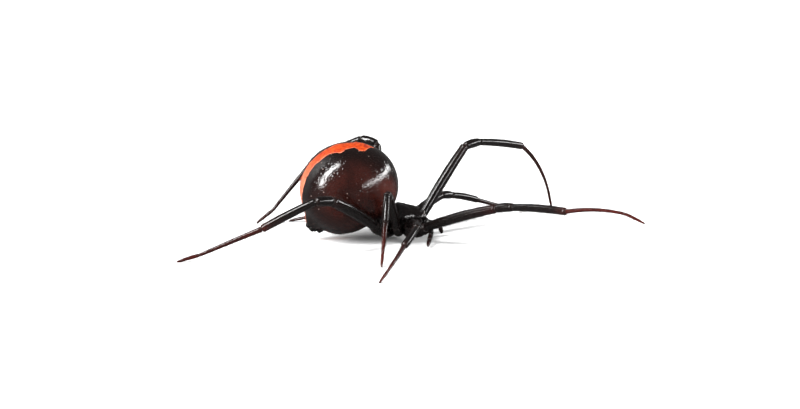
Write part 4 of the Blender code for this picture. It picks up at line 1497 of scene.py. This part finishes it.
class SPIDER_OT_feelers(bpy.types.Operator):
    """Both feelers"""

    bl_idname = "spider.feelers"
    bl_label = "Feelers"

    def execute(self, context):
        """Feelers beside the jaws, as limbs of their own."""
        for side in SIDES:
            base, first, knee, tip = FEELERS[side]
            corners = [base, first, knee] + [knee.lerp(tip, share) for share in FEELER_PARTINGS] + [tip]
            bows = [Vector((0, 0, FEELER_BOWS[0]))] + [Vector((0, 0, FEELER_BOWS[1]))] * 4
            piece = limb_mesh("palp_{}_skin".format(side), corners, bows, FEELER_RADII, FEELER_BROWNS,
                              shell_material("leg_finish"))
            store(piece.data, "fur", "FLOAT", np.ones(len(piece.data.vertices)))
            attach(piece, "root")
            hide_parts("palp_{}_base".format(side), "palp_{}_end".format(side))
        return {"FINISHED"}


def leg_frame(key):
    """Corners of a leg's line and the bow of each stretch."""
    joints = leg_joints(key, FOOT_AXIS_HEIGHT)
    up = leg_up(POSES[key][1], POSES[key][2])
    root, hip = coxa_root(key), joints[0]
    sag = Vector((0, 0, -COXA_SAG))
    split = root.lerp(hip, TROCHANTER_SHARE) + sag * (4 * TROCHANTER_SHARE * (1 - TROCHANTER_SHARE))
    middle = joints[4] - joints[3].lerp(joints[5], 0.5)
    corners = [root, split, hip, joints[1], joints[2], joints[3], joints[5], joints[6]]
    bows = [sag * share for share in COXA_BOW_SHARES]
    bows += [up * FEMUR_BOW, up * PATELLA_BOW, up * TIBIA_BOW, middle, up * TARSUS_BOW]
    return corners, bows


class SPIDER_OT_legs(bpy.types.Operator):
    """Eight legs, each one skin"""

    bl_idname = "spider.legs"
    bl_label = "Legs"

    def execute(self, context):
        """A limb for each leg, with the claws of its foot."""
        for key in POSES:
            pair, side = key
            stout = LEG_STOUTNESS[pair]
            corners, bows = leg_frame(key)
            radii = [tuple(size * stout for size in LEG_RADII[part])
                     for part in ("coxa", "trochanter", "femur", "patella", "tibia")]
            radii += [tuple(size * FOOT_STOUTNESS[pair] for size in LEG_RADII[part])
                      for part in ("metatarsus", "tarsus")]
            # Painted shade: the left legs, away from most of the light, get less of their red brown.
            share = LEFT_LEGS_PAINTED_SHADE_SHARE if side == "left" else 1.0
            browns = [tuple(brown * share for brown in row) for row in (BROWNS[pair][0],) + BROWNS[pair]]
            piece = limb_mesh("leg{}_{}_skin".format(pair, side), corners, bows, radii, browns,
                              shell_material("leg_finish"))
            for vert in piece.data.vertices:
                vert.co.z = max(vert.co.z, 0.0)
            travel = np.zeros(len(piece.data.vertices), np.float32)
            piece.data.attributes["travel"].data.foreach_get("value", travel)
            store(piece.data, "fur", "FLOAT", fur_over(travel, *LEG_FUR))
            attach(piece, "root")
            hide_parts(*["leg{}_{}_{}".format(pair, side, part) for part in LEG_PARTS])
            claws = show("leg{}_{}_claws".format(pair, side), claw_mesh(key, corners), fang_material())
            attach(claws, "root")
        return {"FINISHED"}


def hook(shape, start, along, down, length, radius, curl):
    """Curved tapering hook added to a bmesh."""
    side = along.cross(down).normalized()
    rings = []
    centre = start.copy()
    heading = along.copy()
    for k in range(HOOK_RINGS + 1):
        t = k / HOOK_RINGS
        size = radius * (1 - t) ** 0.8 + HOOK_TIP
        rings.append(oval(centre, side * size, side.cross(heading) * size, 6))
        heading = (heading + down * curl / HOOK_RINGS).normalized()
        centre = centre + heading * length / HOOK_RINGS
    loft(shape, rings)


def claw_mesh(key, corners):
    """Two claws and the small middle hook of a foot, and the comb under a hind foot."""
    shape = bmesh.new()
    along = (corners[-1] - corners[-2]).normalized()
    sideways = along.cross(Vector((0, 0, 1))).normalized()
    down = along.cross(sideways) if along.cross(sideways).z < 0 else -along.cross(sideways)
    start = corners[-1] - along * 0.05
    for mirror in (-1, 1):
        lift = (along * 0.9 - down * 0.25 + sideways * mirror * 0.25).normalized()
        hook(shape, start - down * 0.02 + sideways * mirror * 0.02, lift, down, *CLAW)
    hook(shape, start, along, down, *MIDDLE_CLAW)
    if key[0] == 4:
        for k in range(COMB_HOOKS):
            place = corners[-1].lerp(corners[-2], COMB_START + COMB_SPACING * k)
            root = place + down * (0.045 + 0.004 * k) + sideways * 0.03
            hook(shape, root, (along * 0.8 + down * 0.5).normalized(), along, *COMB_HOOK)
    for vert in shape.verts:
        vert.co.z = max(vert.co.z, CLAW_CLEAR)
    return mesh_of(shape)


class SPIDER_OT_bristles(bpy.types.Operator):
    """Short bristles on every skin"""

    bl_idname = "spider.bristles"
    bl_label = "Bristles"

    def execute(self, context):
        """Bristles on the abdomen, the front of the body, the feelers and the legs."""
        sizes = settings()[2]
        on_abdomen = bristle_material("abdomen_bristle_finish", True)
        on_legs = bristle_material("leg_bristle_finish", False)
        plant_bristles("abdomen", on_abdomen, sizes.abdomen_per_mm2, sizes.abdomen_length,
                       ABDOMEN_COAT, sizes.seed)
        coats = [("cephalothorax", FRONT_COAT, 1)]
        coats += [("leg{}_{}".format(*key), LEG_COAT, 2 + k) for k, key in enumerate(POSES)]
        coats += [("palp_" + side, FEELER_COAT, 20 + k) for k, side in enumerate(SIDES)]
        for part, coat, step in coats:
            plant_bristles(part, on_legs, sizes.leg_per_mm2, sizes.leg_length, coat,
                           sizes.seed + step)
        return {"FINISHED"}


class SPIDER_PT_panel(bpy.types.Panel):
    """Sidebar list of the spider's steps and settings"""

    bl_idname = "SPIDER_PT_panel"
    bl_label = "Spider"
    bl_space_type = "VIEW_3D"
    bl_region_type = "UI"
    bl_category = "Spider"

    def draw(self, context):
        """List every step and every setting."""
        for step in STEPS:
            self.layout.operator(step.bl_idname)
        for group in settings():
            for name in group.bl_rna.properties.keys():
                if name not in ("rna_type", "name"):
                    self.layout.prop(group, name)


STEPS = (SPIDER_OT_stage, SPIDER_OT_abdomen, SPIDER_OT_front, SPIDER_OT_eyes, SPIDER_OT_jaws,
         SPIDER_OT_feelers, SPIDER_OT_legs, SPIDER_OT_bristles)
CLASSES = (SpiderStageSettings, SpiderColourSettings, SpiderBristleSettings, *STEPS, SPIDER_PT_panel)


def register():
    """Register the classes and hang the settings on the scene."""
    for kind in CLASSES:
        bpy.utils.register_class(kind)
    bpy.types.Scene.spider_stage = PointerProperty(type=SpiderStageSettings)
    bpy.types.Scene.spider_colours = PointerProperty(type=SpiderColourSettings)
    bpy.types.Scene.spider_bristles = PointerProperty(type=SpiderBristleSettings)


def unregister():
    """Undo register."""
    del bpy.types.Scene.spider_bristles
    del bpy.types.Scene.spider_colours
    del bpy.types.Scene.spider_stage
    for kind in reversed(CLASSES):
        bpy.utils.unregister_class(kind)


def main():
    """Make every piece."""
    register()
    bpy.ops.spider.stage()
    bpy.ops.spider.abdomen()
    bpy.ops.spider.front()
    bpy.ops.spider.eyes()
    bpy.ops.spider.jaws()
    bpy.ops.spider.feelers()
    bpy.ops.spider.legs()
    bpy.ops.spider.bristles()


if __name__ == "__main__":
    main()
